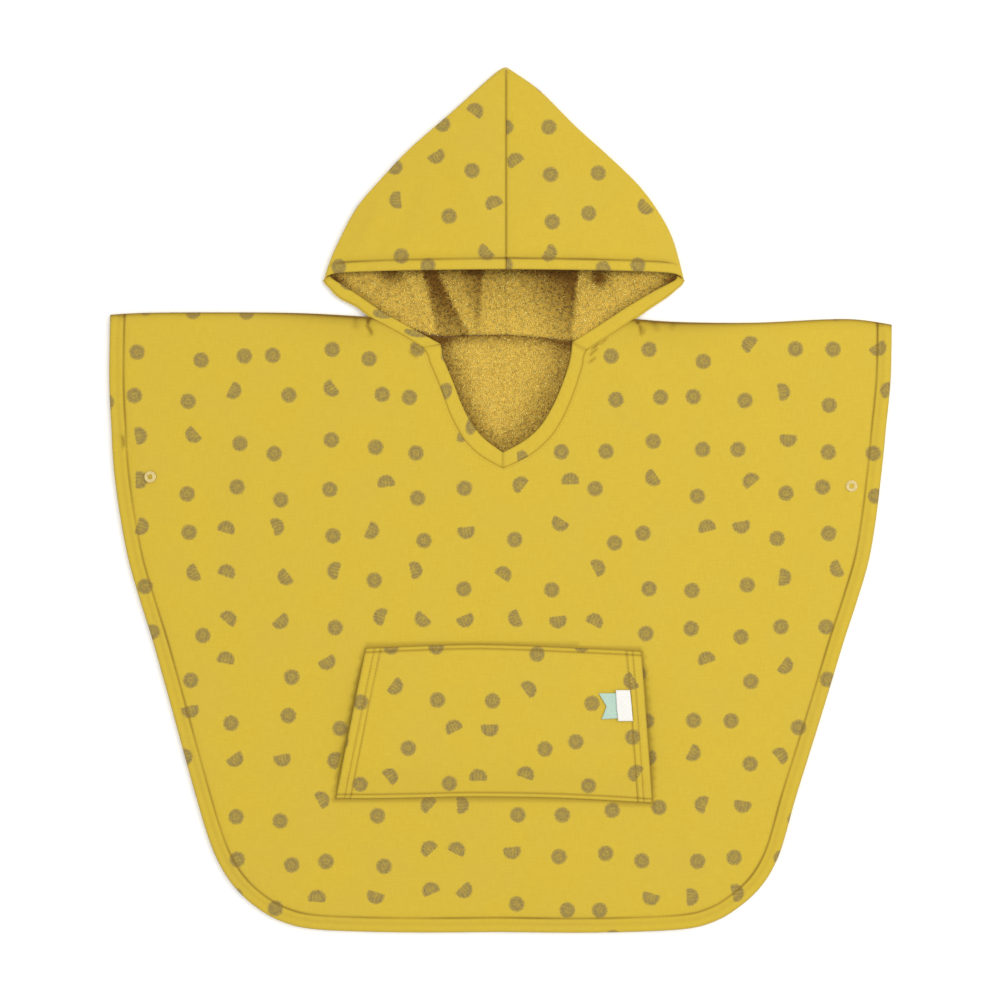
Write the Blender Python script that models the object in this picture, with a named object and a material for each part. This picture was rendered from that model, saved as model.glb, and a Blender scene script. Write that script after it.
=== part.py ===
"""Hooded bath poncho, laid flat on its back with the hood opened above its shoulders.

X runs to the right of the laid garment, Y towards the tip of the hood and Z up from the
table. The origin lies under the middle of the garment. Sizes are in millimetres until a
mesh is made.
"""

from collections import namedtuple
from math import cos, exp, hypot, pi, sin, sqrt

import bmesh
import bpy
from mathutils import Vector
from mathutils.geometry import delaunay_2d_cdt

MM = 0.001

# ---------------------------------------------------------------- driving dimensions
CLOTH = 1.2           # printed woven cotton
TERRY = 1.8           # looped terry
PANEL = 2.3           # front wall: cotton and its terry as one
GAP = 0.3             # between pieces that are sewn or lie on each other
SEAM = GAP / 2        # each piece stands back this far from a seam

HEM_WIDTH = 12.0      # turned hem of the sides and bottom
HEM_RAISE = 0.7       # the turned cloth stands proud of the panel
STITCH_DIP = 0.5      # the line of stitching pulls the cloth down
STITCH_WIDTH = 1.6
EDGE_ROUND = 1.2      # how far in from an edge the cloth reaches its full thickness
EDGE_SHARE = 0.36     # share of the thickness left at the very edge
HEM_SLOPE = 1.5       # the turned hem falls to the panel over this width

LINING_BASE = CLOTH + GAP
LINING_TOP = LINING_BASE + TERRY
FRONT_BASE = LINING_TOP + GAP

GRID = 25.0           # spacing of the points that carry the front's soft folds

HOOD_RADIUS = 4.3     # half of the hood's thickness at its side folds
HOOD_CROWN = 12.0     # rise of the hood's upper layer over the mouth
HOOD_HEM = 9.5
HOOD_HEM_RAISE = 0.5
HOOD_TIP = (4.7, 368.0)
HOOD_BROW = 194.6     # Y of the forehead edge at the middle
UPPER_STEPS = 6       # spans across the hood's upper layer
TIP_SHARE = 0.1       # share of the hood's length in which its layers draw in to the tip
TIP_DROP = 1.3        # inner layers end this many times their depth short of the tip
TIP_CLOSE = 0.07      # share of the length in which the round of the fold flattens
CROWN_RATE = 1.15

POCKET_RISE = 4.9     # the pocket arches over a hand's space
POCKET_SLOPE = 26.0
POCKET_HEM = 12.0
POCKET_HEM_RAISE = 0.8

SNAP_RADIUS = 5.1
SNAP_HOLE = 2.1
SNAP_HEIGHT = 0.9
SOCKET_RADIUS = 4.4
SOCKET_HEIGHT = 1.4
SNAP_REACH = 20.0     # the front is lifted over a stud to this distance
SNAP_SLOPE = 14.0

TAG_THICK = 1.0
RIBBON_THICK = 1.0

# ------------------------------------------------------------------ tables of places
Point = namedtuple("Point", "x y")
Side = namedtuple("Side", "y left right")
Fold = namedtuple("Fold", "x1 y1 x2 y2 reach height")

# The garment's sides from the armhole corners down to the bottom hem.
SIDES = (
    Side(104.0, -332.4, 331.6),
    Side(62.0, -330.6, 327.6),
    Side(17.0, -327.5, 323.0),
    Side(-51.0, -316.0, 313.0),
    Side(-119.0, -295.6, 292.0),
    Side(-187.0, -276.6, 271.4),
    Side(-255.0, -257.8, 250.2),
    Side(-299.0, -243.6, 237.6),
    Side(-327.0, -227.4, 222.4),
    Side(-347.0, -206.0, 201.0),
    Side(-359.5, -182.0, 178.0),
    Side(-365.4, -149.0, 146.0),
)
BOTTOM = (Point(-70.0, -367.4), Point(0.0, -367.0), Point(70.0, -367.6))
SHOULDER_LEFT = (
    Point(-110.9, 155.6),
    Point(-172.0, 158.8),
    Point(-245.0, 159.4),
    Point(-300.0, 159.0),
    Point(-331.6, 157.4),
)
SHOULDER_RIGHT = (
    Point(332.4, 149.0),
    Point(304.0, 153.2),
    Point(276.0, 153.4),
    Point(215.0, 150.6),
    Point(152.0, 151.2),
    Point(113.5, 153.9),
)

# Seam of the back with the hood, hidden under the bands at both ends.
BACK_NECK = (
    Point(-110.9, 155.6),
    Point(-80.0, 146.5),
    Point(-50.6, 138.9),
    Point(-25.0, 140.0),
    Point(4.7, 140.4),
    Point(33.0, 138.4),
    Point(60.8, 134.8),
    Point(88.0, 141.5),
    Point(113.5, 153.9),
)
# Seam of the front with the bands, from the left shoulder round the V to the right one.
FRONT_NECK_LEFT = (
    Point(-110.9, 155.6),
    Point(-93.0, 145.6),
    Point(-65.9, 129.4),
    Point(-60.0, 117.0),
    Point(-50.0, 93.0),
    Point(-42.0, 71.5),
    Point(-30.0, 50.5),
    Point(-15.0, 36.5),
    Point(2.1, 27.2),
)
FRONT_NECK_RIGHT = (
    Point(2.1, 27.2),
    Point(24.5, 38.0),
    Point(43.0, 54.5),
    Point(55.0, 74.5),
    Point(64.0, 97.0),
    Point(69.5, 115.0),
    Point(72.7, 127.0),
    Point(92.0, 139.6),
    Point(113.5, 153.9),
)
# Open edge of the V.
NECK_EDGE_LEFT = (
    Point(-50.6, 131.8),
    Point(-48.6, 121.0),
    Point(-39.5, 98.5),
    Point(-31.6, 78.0),
    Point(-20.8, 59.6),
    Point(-8.9, 48.2),
    Point(2.1, 40.8),
)
NECK_EDGE_RIGHT = (
    Point(60.8, 133.5),
    Point(59.1, 119.0),
    Point(53.4, 101.0),
    Point(44.8, 80.6),
    Point(33.4, 62.0),
    Point(18.8, 49.4),
    Point(2.1, 40.8),
)
# Cheek edges of the hood: the inner edge lies on the terry, the outer one is the contour.
CHEEK_INNER_LEFT = (
    Point(-141.0, 186.6),
    Point(-122.0, 174.6),
    Point(-104.0, 161.9),
    Point(-85.0, 151.0),
    Point(-50.6, 132.2),
)
CHEEK_TIP_LEFT = (Point(-143.4, 182.0), Point(-127.1, 170.0))
CHEEK_INNER_RIGHT = (
    Point(147.0, 185.8),
    Point(127.0, 175.4),
    Point(106.0, 162.9),
    Point(85.0, 149.0),
    Point(60.8, 133.9),
)
CHEEK_TIP_RIGHT = (Point(149.6, 180.6), Point(133.0, 168.0))
NECK_CORNER_LEFT = 2      # row of the front's neck seam where the band turns into the V
NECK_CORNER_RIGHT = 6

# Side folds of the hood, from the tip down to its side points.
HOOD_SIDE_LEFT = (
    Point(4.7, 368.0),
    Point(-4.6, 362.6),
    Point(-40.4, 330.7),
    Point(-76.9, 297.5),
    Point(-101.0, 273.0),
    Point(-120.4, 248.0),
    Point(-135.2, 220.5),
    Point(-143.6, 202.0),
    Point(-149.2, 187.0),
)
HOOD_SIDE_RIGHT = (
    Point(4.7, 368.0),
    Point(14.0, 362.6),
    Point(35.3, 346.0),
    Point(63.6, 315.4),
    Point(90.0, 291.6),
    Point(117.0, 265.2),
    Point(133.4, 241.0),
    Point(144.4, 219.0),
    Point(155.1, 187.0),
)
# Lower edge of the hood's back layer, from the middle seam out to the side point.
NECK_MIDDLE = 4
HOOD_FOOT_LEFT = (
    *reversed(BACK_NECK[: NECK_MIDDLE + 1]),
    Point(-127.1, 170.0),
    HOOD_SIDE_LEFT[-1],
)
HOOD_FOOT_RIGHT = (*BACK_NECK[NECK_MIDDLE:], Point(133.0, 168.0), HOOD_SIDE_RIGHT[-1])

# Soft ridges of the front: ends, reach across and height.
FRONT_FOLDS = (
    Fold(-78.0, 118.0, -176.0, 38.0, 20.0, 1.5),
    Fold(84.0, 112.0, 170.0, 22.0, 20.0, 1.4),
    Fold(-300.0, 128.0, -196.0, 120.0, 18.0, 1.3),
    Fold(186.0, 118.0, 300.0, 112.0, 18.0, 1.4),
    Fold(-286.0, 66.0, -262.0, -128.0, 22.0, 1.3),
    Fold(280.0, 40.0, 244.0, -146.0, 21.0, 1.2),
    Fold(-190.0, -176.0, -168.0, -322.0, 22.0, 1.1),
    Fold(188.0, -196.0, 150.0, -330.0, 22.0, 1.2),
    Fold(-40.0, -6.0, 22.0, -92.0, 26.0, 0.9),
    Fold(-120.0, 132.0, -134.0, 84.0, 14.0, 0.9),
    Fold(104.0, 122.0, 120.0, 78.0, 13.0, 1.0),
)
# Pleats of the terry inside the hood, running down to the corners of the neck.
LINING_FOLDS = (
    Fold(-66.0, 216.0, -52.0, 144.0, 13.0, 5.0),
    Fold(-42.0, 206.0, -28.0, 150.0, 11.0, 3.0),
    Fold(-12.0, 206.0, -4.0, 158.0, 12.0, 1.8),
    Fold(68.0, 214.0, 62.0, 146.0, 13.0, 4.6),
    Fold(34.0, 204.0, 44.0, 156.0, 12.0, 2.6),
    Fold(-112.0, 208.0, -92.0, 178.0, 13.0, 2.0),
    Fold(104.0, 206.0, 94.0, 174.0, 13.0, 2.2),
)

POCKET_TOP = (
    Point(-114.3, -125.8),
    Point(-21.7, -122.8),
    Point(52.3, -125.2),
    Point(119.4, -128.4),
)
POCKET_BOTTOM = (
    Point(-139.8, -253.3),
    Point(-91.4, -253.3),
    Point(-30.2, -251.8),
    Point(52.3, -253.0),
    Point(128.8, -257.2),
)

SNAP_LEFT = Point(-297.1, 19.6)
SNAP_RIGHT = Point(297.9, 11.9)

# Corners from the upper left one, clockwise.
TAG_CORNERS = (
    Point(97.3, -160.7),
    Point(109.6, -160.7),
    Point(112.0, -187.0),
    Point(99.4, -187.0),
)
RIBBON_CORNERS = (
    Point(83.0, -163.6),
    Point(108.4, -163.2),
    Point(110.4, -184.4),
    Point(85.6, -185.6),
)
RIBBON_NOTCH = 5.4


# ---------------------------------------------------------------------- plane geometry
def smooth(points, pieces=2):
    """A soft curve through the points, each span cut into the same number of pieces."""
    curve = []
    for here in range(len(points) - 1):
        before = points[max(here - 1, 0)]
        start = points[here]
        end = points[here + 1]
        after = points[min(here + 2, len(points) - 1)]
        for step in range(pieces):
            t = step / pieces
            x = cubic(before.x, start.x, end.x, after.x, t)
            y = cubic(before.y, start.y, end.y, after.y, t)
            curve.append(Point(x, y))
    curve.append(Point(*points[-1]))
    return curve


def cubic(before, start, end, after, t):
    slope_in = (end - before) / 2
    slope_out = (after - start) / 2
    rise = 3 * (end - start) - 2 * slope_in - slope_out
    bend = 2 * (start - end) + slope_in + slope_out
    return start + t * (slope_in + t * (rise + t * bend))


def along(path, share):
    """The point at a share of a path's length."""
    lengths = [hypot(b.x - a.x, b.y - a.y) for a, b in zip(path, path[1:])]
    left = share * sum(lengths)
    for start, end, length in zip(path, path[1:], lengths):
        if left <= length:
            return between(start, end, left / length)
        left -= length
    return path[-1]


def distance(spot, path):
    """Distance from a point to a path."""
    best = 1e9
    for start, end in zip(path, path[1:]):
        run_x = end.x - start.x
        run_y = end.y - start.y
        share = ((spot.x - start.x) * run_x + (spot.y - start.y) * run_y) / (run_x**2 + run_y**2)
        share = min(1.0, max(0.0, share))
        best = min(best, hypot(spot.x - start.x - share * run_x, spot.y - start.y - share * run_y))
    return best


def inset(path, depth):
    """An open path moved to its left by a depth, with mitred corners and no turning back."""
    moved = []
    for here, spot in enumerate(path):
        before = path[max(here - 1, 0)]
        after = path[min(here + 1, len(path) - 1)]
        turn_in = unit(spot.x - before.x, spot.y - before.y)
        turn_out = unit(after.x - spot.x, after.y - spot.y)
        if here == 0:
            turn_in = turn_out
        if here == len(path) - 1:
            turn_out = turn_in
        normal = unit(-turn_in.y - turn_out.y, turn_in.x + turn_out.x)
        mitre = depth / (normal.x * -turn_in.y + normal.y * turn_in.x)
        moved.append(Point(spot.x + normal.x * mitre, spot.y + normal.y * mitre))
    return [spot for spot in moved if distance(spot, path) > 0.9 * depth - 0.001]


def between(start, end, share):
    """The point at a share of the way from one point to another."""
    return Point(start.x + (end.x - start.x) * share, start.y + (end.y - start.y) * share)


def toward(start, end, length):
    """The point a length away from one point on the way to another."""
    return between(start, end, length / hypot(end.x - start.x, end.y - start.y))


def unit(x, y):
    length = hypot(x, y) or 1.0
    return Point(x / length, y / length)


def inside(spot, loop):
    """Whether a point lies within a closed loop."""
    within = False
    for start, end in zip(loop, loop[1:] + loop[:1]):
        if (start.y > spot.y) != (end.y > spot.y):
            crossing = start.x + (end.x - start.x) * (spot.y - start.y) / (end.y - start.y)
            if spot.x < crossing:
                within = not within
    return within


def soft_step(value):
    value = min(1.0, max(0.0, value))
    return value * value * (3 - 2 * value)


def folds_at(spot, folds):
    """Height of a table of soft ridges at a point, each dying away at its ends."""
    height = 0.0
    for fold in folds:
        run_x = fold.x2 - fold.x1
        run_y = fold.y2 - fold.y1
        length = hypot(run_x, run_y)
        share = ((spot.x - fold.x1) * run_x + (spot.y - fold.y1) * run_y) / length**2
        across = ((spot.x - fold.x1) * run_y - (spot.y - fold.y1) * run_x) / length
        ends = soft_step(1.5 - 3 * abs(share - 0.5)) if abs(share - 0.5) < 0.5 else 0.0
        height += fold.height * ends * exp(-((across / fold.reach) ** 2) * 2)
    return height


def rounded(rim):
    """Share of the full thickness at a distance from the cloth's edge."""
    share = min(1.0, rim / EDGE_ROUND)
    return EDGE_SHARE + (1 - EDGE_SHARE) * sqrt(1 - (1 - share) ** 2)


def thinned(base, top, rim):
    """Lower and upper face, drawn together towards the edge."""
    middle = (base + top) / 2
    half = (top - base) / 2 * rounded(rim)
    return middle - half, middle + half


# ----------------------------------------------------------------------- outline paths
def side_path():
    """Left corner, down the side, along the bottom and up to the right corner."""
    left = [Point(row.left, row.y) for row in SIDES]
    right = [Point(row.right, row.y) for row in reversed(SIDES)]
    return smooth([SHOULDER_LEFT[-1], *left, *BOTTOM, *right, SHOULDER_RIGHT[0]])


SIDE_PATH = side_path()
OUTER_PATH = list(SHOULDER_LEFT[:-1]) + SIDE_PATH + list(SHOULDER_RIGHT[1:])
LEFT_SEAM = smooth(FRONT_NECK_LEFT)
RIGHT_SEAM = smooth(FRONT_NECK_RIGHT)
FRONT_SEAM = LEFT_SEAM[:-1] + RIGHT_SEAM


# ----------------------------------------------------------------------- mesh building
def material(name, colour, roughness):
    shade = bpy.data.materials.new(name)
    shade.use_nodes = True
    shader = shade.node_tree.nodes["Principled BSDF"]
    shader.inputs["Base Color"].default_value = (*colour, 1.0)
    shader.inputs["Roughness"].default_value = roughness
    shader.inputs["Metallic"].default_value = 0.0
    return shade


def place(name, mesh_maker, shade):
    """Make an object from a filled bmesh, closed and facing outwards."""
    bmesh.ops.remove_doubles(mesh_maker, verts=mesh_maker.verts, dist=0.00001)
    bmesh.ops.dissolve_degenerate(mesh_maker, edges=mesh_maker.edges, dist=0.00001)
    bmesh.ops.triangulate(mesh_maker, faces=mesh_maker.faces)
    bmesh.ops.recalc_face_normals(mesh_maker, faces=mesh_maker.faces)
    mesh = bpy.data.meshes.new(name)
    mesh_maker.to_mesh(mesh)
    mesh_maker.free()
    mesh.materials.append(shade)
    mesh.shade_smooth()
    mesh.set_sharp_from_angle(angle=pi / 4)
    piece = bpy.data.objects.new(name, mesh)
    bpy.context.collection.objects.link(piece)
    return piece


def sheet(name, loop, chains, spots, levels, shade):
    """A cloth wall over a plane outline: chains are lines that the mesh has to follow,
    spots are loose points, and levels gives the lower and upper face at a point."""
    points = list(loop)
    edges = [(k, (k + 1) % len(loop)) for k in range(len(loop))]
    for chain in chains:
        first = len(points)
        points.extend(chain)
        edges.extend((first + k, first + k + 1) for k in range(len(chain) - 1))
    points.extend(spots)
    flat = [Vector((p.x, p.y)) for p in points]
    corners, rims, faces = delaunay_2d_cdt(flat, edges, [], 1, 0.0001)[:3]
    maker = bmesh.new()
    lower = []
    upper = []
    for corner in corners:
        base, top = levels(Point(*corner))
        lower.append(maker.verts.new((corner.x * MM, corner.y * MM, base * MM)))
        upper.append(maker.verts.new((corner.x * MM, corner.y * MM, top * MM)))
    used = {}
    for face in faces:
        maker.faces.new([upper[k] for k in face])
        maker.faces.new([lower[k] for k in reversed(face)])
        for start, end in zip(face, face[1:] + face[:1]):
            used[(start, end)] = True
    for start, end in used:
        if (end, start) not in used:
            maker.faces.new((upper[start], lower[start], lower[end], upper[end]))
    return place(name, maker, shade)


def cut_back(chain, length):
    """A line shortened at both ends."""
    return [toward(chain[0], chain[1], length), *chain[1:-1], toward(chain[-1], chain[-2], length)]


def slab(name, outer, inner, shade):
    """A wall between two grids of the same size, closed all round their borders."""
    maker = bmesh.new()
    rows = len(outer)
    columns = len(outer[0])
    skins = []
    for grid in (outer, inner):
        skins.append([[maker.verts.new(Vector(p) * MM) for p in row] for row in grid])
    for skin in skins:
        for i in range(rows - 1):
            for j in range(columns - 1):
                maker.faces.new((skin[i][j], skin[i][j + 1], skin[i + 1][j + 1], skin[i + 1][j]))
    border = [(0, j) for j in range(columns)]
    border += [(i, columns - 1) for i in range(1, rows)]
    border += [(rows - 1, j) for j in range(columns - 2, -1, -1)]
    border += [(i, 0) for i in range(rows - 2, 0, -1)]
    for (i, j), (k, m) in zip(border, border[1:] + border[:1]):
        maker.faces.new((skins[0][i][j], skins[0][k][m], skins[1][k][m], skins[1][i][j]))
    return place(name, maker, shade)


def lifted(rows, levels):
    """Lower and upper grids of points over a plane grid."""
    faces = [[(p, levels(p)) for p in row] for row in rows]
    lower = [[(p.x, p.y, level[0]) for p, level in row] for row in faces]
    upper = [[(p.x, p.y, level[1]) for p, level in row] for row in faces]
    return upper, lower


# ------------------------------------------------------------------------ body panels
HEM_DEPTHS = (EDGE_ROUND, HEM_WIDTH + 0.4, HEM_WIDTH + 1.2)
LINING_DEPTH = HEM_WIDTH + 1.2 + GAP
LINING_LINE = inset(OUTER_PATH, LINING_DEPTH)


def back_levels(spot):
    """The turned hem is as thick as the cloth and the terry that it holds."""
    rim = distance(spot, OUTER_PATH)
    if rim > (HEM_DEPTHS[1] + HEM_DEPTHS[2]) / 2 - 0.1:
        return 0.0, CLOTH
    return 0.0, LINING_TOP * rounded(rim)


def back_neck_edge(depths):
    """The back's neck edge from the right shoulder to the left one, with a point at each
    depth from both shoulders, where the lines of the hem run out."""
    first = [toward(BACK_NECK[0], BACK_NECK[1], depth) for depth in depths]
    last = [toward(BACK_NECK[-1], BACK_NECK[-2], depth) for depth in reversed(depths)]
    seam = [BACK_NECK[0], *first, *BACK_NECK[1:-1], *last, BACK_NECK[-1]]
    return inset(list(reversed(seam)), SEAM)


def hem_line(depth, neck, place_in_neck):
    """A line along the hem at a depth, run out to its points on the neck edge."""
    line = inset(LINING_LINE, depth - LINING_DEPTH)
    return [neck[-1 - place_in_neck], *line, neck[place_in_neck]]


def make_back_panel(shade):
    neck = back_neck_edge(HEM_DEPTHS)
    loop = OUTER_PATH + neck[1:-1]
    chains = [hem_line(depth, neck, k + 1) for k, depth in enumerate(HEM_DEPTHS)]
    return sheet("back_panel", loop, chains, [], back_levels, shade)


def make_back_lining(shade):
    neck = back_neck_edge([LINING_DEPTH])[1:-1]
    border = hem_line(LINING_DEPTH, neck, 0)
    loop = border + neck[1:-1]
    inner = [p for p in inset(border, EDGE_ROUND) if distance(p, neck) > 1.0]

    def levels(spot):
        rim = distance(spot, border)
        return LINING_BASE, LINING_BASE + TERRY * rounded(rim)

    middle = []
    for y in (90.0, 0.0, -90.0, -180.0, -270.0):
        middle.extend(Point(x, y) for x in (-120.0, -40.0, 40.0, 120.0))
    return sheet("back_lining", loop, [inner], middle, levels, shade)


def snap_rise(spot):
    """The front lies over each press-stud's lower half."""
    rise = 0.0
    for snap in (SNAP_LEFT, SNAP_RIGHT):
        away = hypot(spot.x - snap.x, spot.y - snap.y)
        rise = max(rise, soft_step((SNAP_REACH - away) / SNAP_SLOPE))
    return rise * (SOCKET_HEIGHT + GAP)


def drape(spot):
    """How far the front stands off the lining under it."""
    to_neck = soft_step((distance(spot, FRONT_SEAM) - 2.0) / 18.0)
    to_side = soft_step(distance(spot, SIDE_PATH) / 30.0)
    return folds_at(spot, FRONT_FOLDS) * to_neck * to_side + snap_rise(spot)


def hem_relief(depth):
    """Raised turning of a hem and the dip of its stitching, by distance from the edge."""
    turning = HEM_RAISE * (1 - soft_step((depth - HEM_WIDTH) / HEM_SLOPE))
    return turning - STITCH_DIP * exp(-(((depth - HEM_WIDTH) / STITCH_WIDTH) ** 2))


def front_levels(spot):
    rise = drape(spot)
    base = FRONT_BASE + rise
    top = base + PANEL + hem_relief(distance(spot, SIDE_PATH))
    rim = min(distance(spot, OUTER_PATH), distance(spot, FRONT_SEAM))
    return thinned(base, top, rim)


def front_top(spot):
    """Upper face of the front away from its edges."""
    return FRONT_BASE + drape(spot) + PANEL


HEM_LINES = (HEM_WIDTH - 1.8, HEM_WIDTH, HEM_WIDTH + 3.0)
GRID_ROWS = 25
GRID_TOP = 170.0
GRID_PITCH = GRID * 0.87      # rows of points an equal distance apart


def grid_spots(loop):
    """Points in staggered rows, clear of the hem's lines and of the neck."""
    spots = []
    for row in range(GRID_ROWS):
        y = GRID_TOP - row * GRID_PITCH
        for column in range(-14, 15):
            spot = Point((column + 0.5 * (row % 2)) * GRID, y)
            from_hem = distance(spot, OUTER_PATH) - HEM_LINES[-1]
            from_neck = distance(spot, FRONT_SEAM)
            if min(from_hem, from_neck) > GRID * 0.35 and inside(spot, loop):
                spots.append(spot)
    return spots


def make_front_panel(shade):
    neck = inset(list(reversed(FRONT_SEAM)), SEAM)
    loop = OUTER_PATH + neck[1:-1]
    chains = [cut_back(inset(OUTER_PATH, EDGE_ROUND), 2.0)]
    chains += [cut_back(inset(SIDE_PATH, depth), 3.0) for depth in HEM_LINES]
    chains.append(cut_back(inset(neck, EDGE_ROUND), 4.0))
    spots = grid_spots(loop)
    for snap in (SNAP_LEFT, SNAP_RIGHT):
        spots = [p for p in spots if hypot(p.x - snap.x, p.y - snap.y) > SOCKET_RADIUS + 9.0]
        spots += ring(snap, SOCKET_RADIUS + 3.0, 8)
    return sheet("front_panel", loop, chains, spots, front_levels, shade)


def ring(centre, radius, count):
    turns = [2 * pi * k / count for k in range(count)]
    return [Point(centre.x + radius * cos(a), centre.y + radius * sin(a)) for a in turns]


# ------------------------------------------------------------------------- edge bands
BAND_SHARES = (0.0, 0.11, 0.5, 0.89, 1.0)
BAND_CROWN = 0.5
ANYWHERE = (-400.0, 400.0)


def make_band(name, seam, edge, x_range, shade):
    """A narrow strip between a seam and a free edge, a little fuller in its middle."""
    spans = [hypot(q.x - p.x, q.y - p.y) for p, q in zip(seam, seam[1:])]
    upper = []
    lower = []
    for here, start in enumerate(seam):
        end = along(edge, sum(spans[:here]) / sum(spans))
        width = hypot(end.x - start.x, end.y - start.y)
        upper.append([])
        lower.append([])
        for share in BAND_SHARES:
            x, y = between(start, end, share)
            x = min(x_range[1], max(x_range[0], x))
            full = FRONT_BASE + PANEL + BAND_CROWN * sin(pi * share)
            base, top = thinned(FRONT_BASE, full, min(share, 1 - share) * width)
            lower[-1].append((x, y, base))
            upper[-1].append((x, y, top))
    return slab(name, upper, lower, shade)


def shift(path, x, y):
    return [Point(p.x + x, p.y + y) for p in path]


def make_neck_bands(shade):
    """Strips beside the V, mitred at its point."""
    corner = FRONT_NECK_LEFT[-1].x
    left = inset(LEFT_SEAM[2 * NECK_CORNER_LEFT:], SEAM)
    right = inset(list(reversed(RIGHT_SEAM[: 2 * NECK_CORNER_RIGHT + 1])), -SEAM)
    left_range = (ANYWHERE[0], corner - SEAM)
    right_range = (corner + SEAM, ANYWHERE[1])
    make_band("neck_band_left", left, smooth(NECK_EDGE_LEFT), left_range, shade)
    make_band("neck_band_right", right, smooth(NECK_EDGE_RIGHT), right_range, shade)


def make_hood_bands(shade):
    """Cheek edges of the hood, a gap above the neck bands and the front."""
    left = [*CHEEK_TIP_LEFT, *LEFT_SEAM[: 2 * NECK_CORNER_LEFT + 1]]
    right = [*CHEEK_TIP_RIGHT, *reversed(RIGHT_SEAM[2 * NECK_CORNER_RIGHT:])]
    for name, seam, edge in (("left", left, CHEEK_INNER_LEFT), ("right", right, CHEEK_INNER_RIGHT)):
        raised_edge = shift(smooth(edge), 0, GAP)
        make_band("hood_band_" + name, shift(seam, 0, GAP), raised_edge, ANYWHERE, shade)


# --------------------------------------------------------------------------- the hood
Half = namedtuple("Half", "sign side foot brow")

# Rows of the hood run from its tip (0) to its mouth (1), columns from the middle seam.
HOOD_ROWS = (
    *(0.0, 0.015, 0.05, 0.12, 0.22, 0.33, 0.45, 0.57),
    *(0.68, 0.77, 0.84, 0.89, 0.925, 0.947, 0.97, 1.0),
)
FOLD_TURNS = (0.32, 0.62, 0.84, 1.0)


def brow(sign):
    """Forehead edge from the middle seam to the side point, straight and then turning down."""
    tip = HOOD_SIDE_LEFT[-1] if sign < 0 else HOOD_SIDE_RIGHT[-1]
    middle = HOOD_TIP[0]
    return [
        Point(middle, HOOD_BROW),
        Point(middle + sign * 60.0, HOOD_BROW - 0.4),
        Point(middle + sign * 110.0, HOOD_BROW - 1.0),
        Point(tip.x - sign * 12.0, HOOD_BROW - 3.0),
        tip,
    ]


def coons(centre, side, end, u, t):
    """Point of a patch between the middle seam (u 0), the side fold (u 1) and an end edge."""
    a = along(centre, t)
    b = along(side, t)
    e = along(end, u)
    x = (1 - u) * a.x + u * b.x + t * (e.x - (1 - u) * end[0].x - u * end[-1].x)
    y = (1 - u) * a.y + u * b.y + t * (e.y - (1 - u) * end[0].y - u * end[-1].y)
    return x, y


def foot_shares(half, pieces):
    """Places across the lower layer that fall on the foot's own corners at the mouth."""
    spans = [hypot(b.x - a.x, b.y - a.y) for a, b in zip(half.foot, half.foot[1:])]
    shares = []
    for here, span in enumerate(spans):
        shares.extend((sum(spans[:here]) + span * k / pieces) / sum(spans) for k in range(pieces))
    return shares


def hood_section(half, t, depth, pieces, hem, pleats):
    """Points of one row, from the middle seam of the lower layer round the side fold to the
    middle seam of the upper one, on a surface lying a depth inside the hood's outer face.
    Each span of the foot is cut into pieces; hem and pleats are shares of their relief."""
    tip = Point(*HOOD_TIP)
    low = [tip, half.foot[0]]
    high = [tip, half.brow[0]]
    drop = depth * max(0.0, 1 - t / TIP_SHARE) * TIP_DROP
    width = max(0.001, abs(along(half.side, t).x - tip.x))
    flat = max(0.0, 1 - HOOD_RADIUS / width)
    mouth_flat = 1 - HOOD_RADIUS / abs(half.side[-1].x - tip.x)
    squash = sqrt(max(0.0, 1 - (1 - min(1.0, t / TIP_CLOSE)) ** 2))
    reach = HOOD_RADIUS - depth
    row = []

    def add(centre, end, u, z):
        x, y = coons(centre, half.side, end, u, t)
        row.append((x, y - drop, HOOD_RADIUS + z * squash))

    def add_fold(centre, end, share, up):
        angle = pi / 2 * (1 - share)
        off_side = HOOD_RADIUS - reach * cos(angle)
        add(centre, end, max(0.0, 1 - off_side / width), up * reach * sin(angle))

    for share in (*foot_shares(half, pieces), mouth_flat):
        u = share * flat / mouth_flat
        spot = Point(*coons(low, half.side, half.foot, u, t))
        pleat = folds_at(spot, LINING_FOLDS) * pleats * mouth_fade(spot)
        add(low, half.foot, u, pleat - reach)
    for share in FOLD_TURNS:
        add_fold(low, half.foot, share, -1)
    for share in reversed(FOLD_TURNS[:-1]):
        add_fold(high, half.brow, share, 1)
    for step in range(UPPER_STEPS, -1, -1):
        share = step / UPPER_STEPS
        crown = HOOD_CROWN * soft_step(t * CROWN_RATE) * (1 - share**2)
        add(high, half.brow, flat * share, reach + crown + hem * hood_hem_relief(t))
    near = tip.x + half.sign * SEAM
    clear = max if half.sign > 0 else min
    return [(clear(x, near), y, z) for x, y, z in row]


def hood_hem_relief(t):
    """Raised hem along the forehead edge and the dip of its stitching."""
    depth = (1 - t) * (HOOD_TIP[1] - HOOD_BROW)
    turning = HOOD_HEM_RAISE * (1 - soft_step((depth - HOOD_HEM) / HEM_SLOPE))
    return turning - STITCH_DIP * exp(-(((depth - HOOD_HEM) / STITCH_WIDTH) ** 2))


def mouth_fade(spot):
    """Pleats die away before they reach the bands and the seam at the neck."""
    bands = min(distance(spot, CHEEK_INNER_LEFT), distance(spot, CHEEK_INNER_RIGHT))
    seam = distance(spot, BACK_NECK)
    return soft_step((bands - 3.0) / 10.0) * soft_step((seam - 2.0) / 9.0)


def hood_half(sign):
    side = HOOD_SIDE_LEFT if sign < 0 else HOOD_SIDE_RIGHT
    foot = HOOD_FOOT_LEFT if sign < 0 else HOOD_FOOT_RIGHT
    return Half(sign, smooth(side, 3), shift(foot, 0, SEAM), brow(sign))


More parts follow.
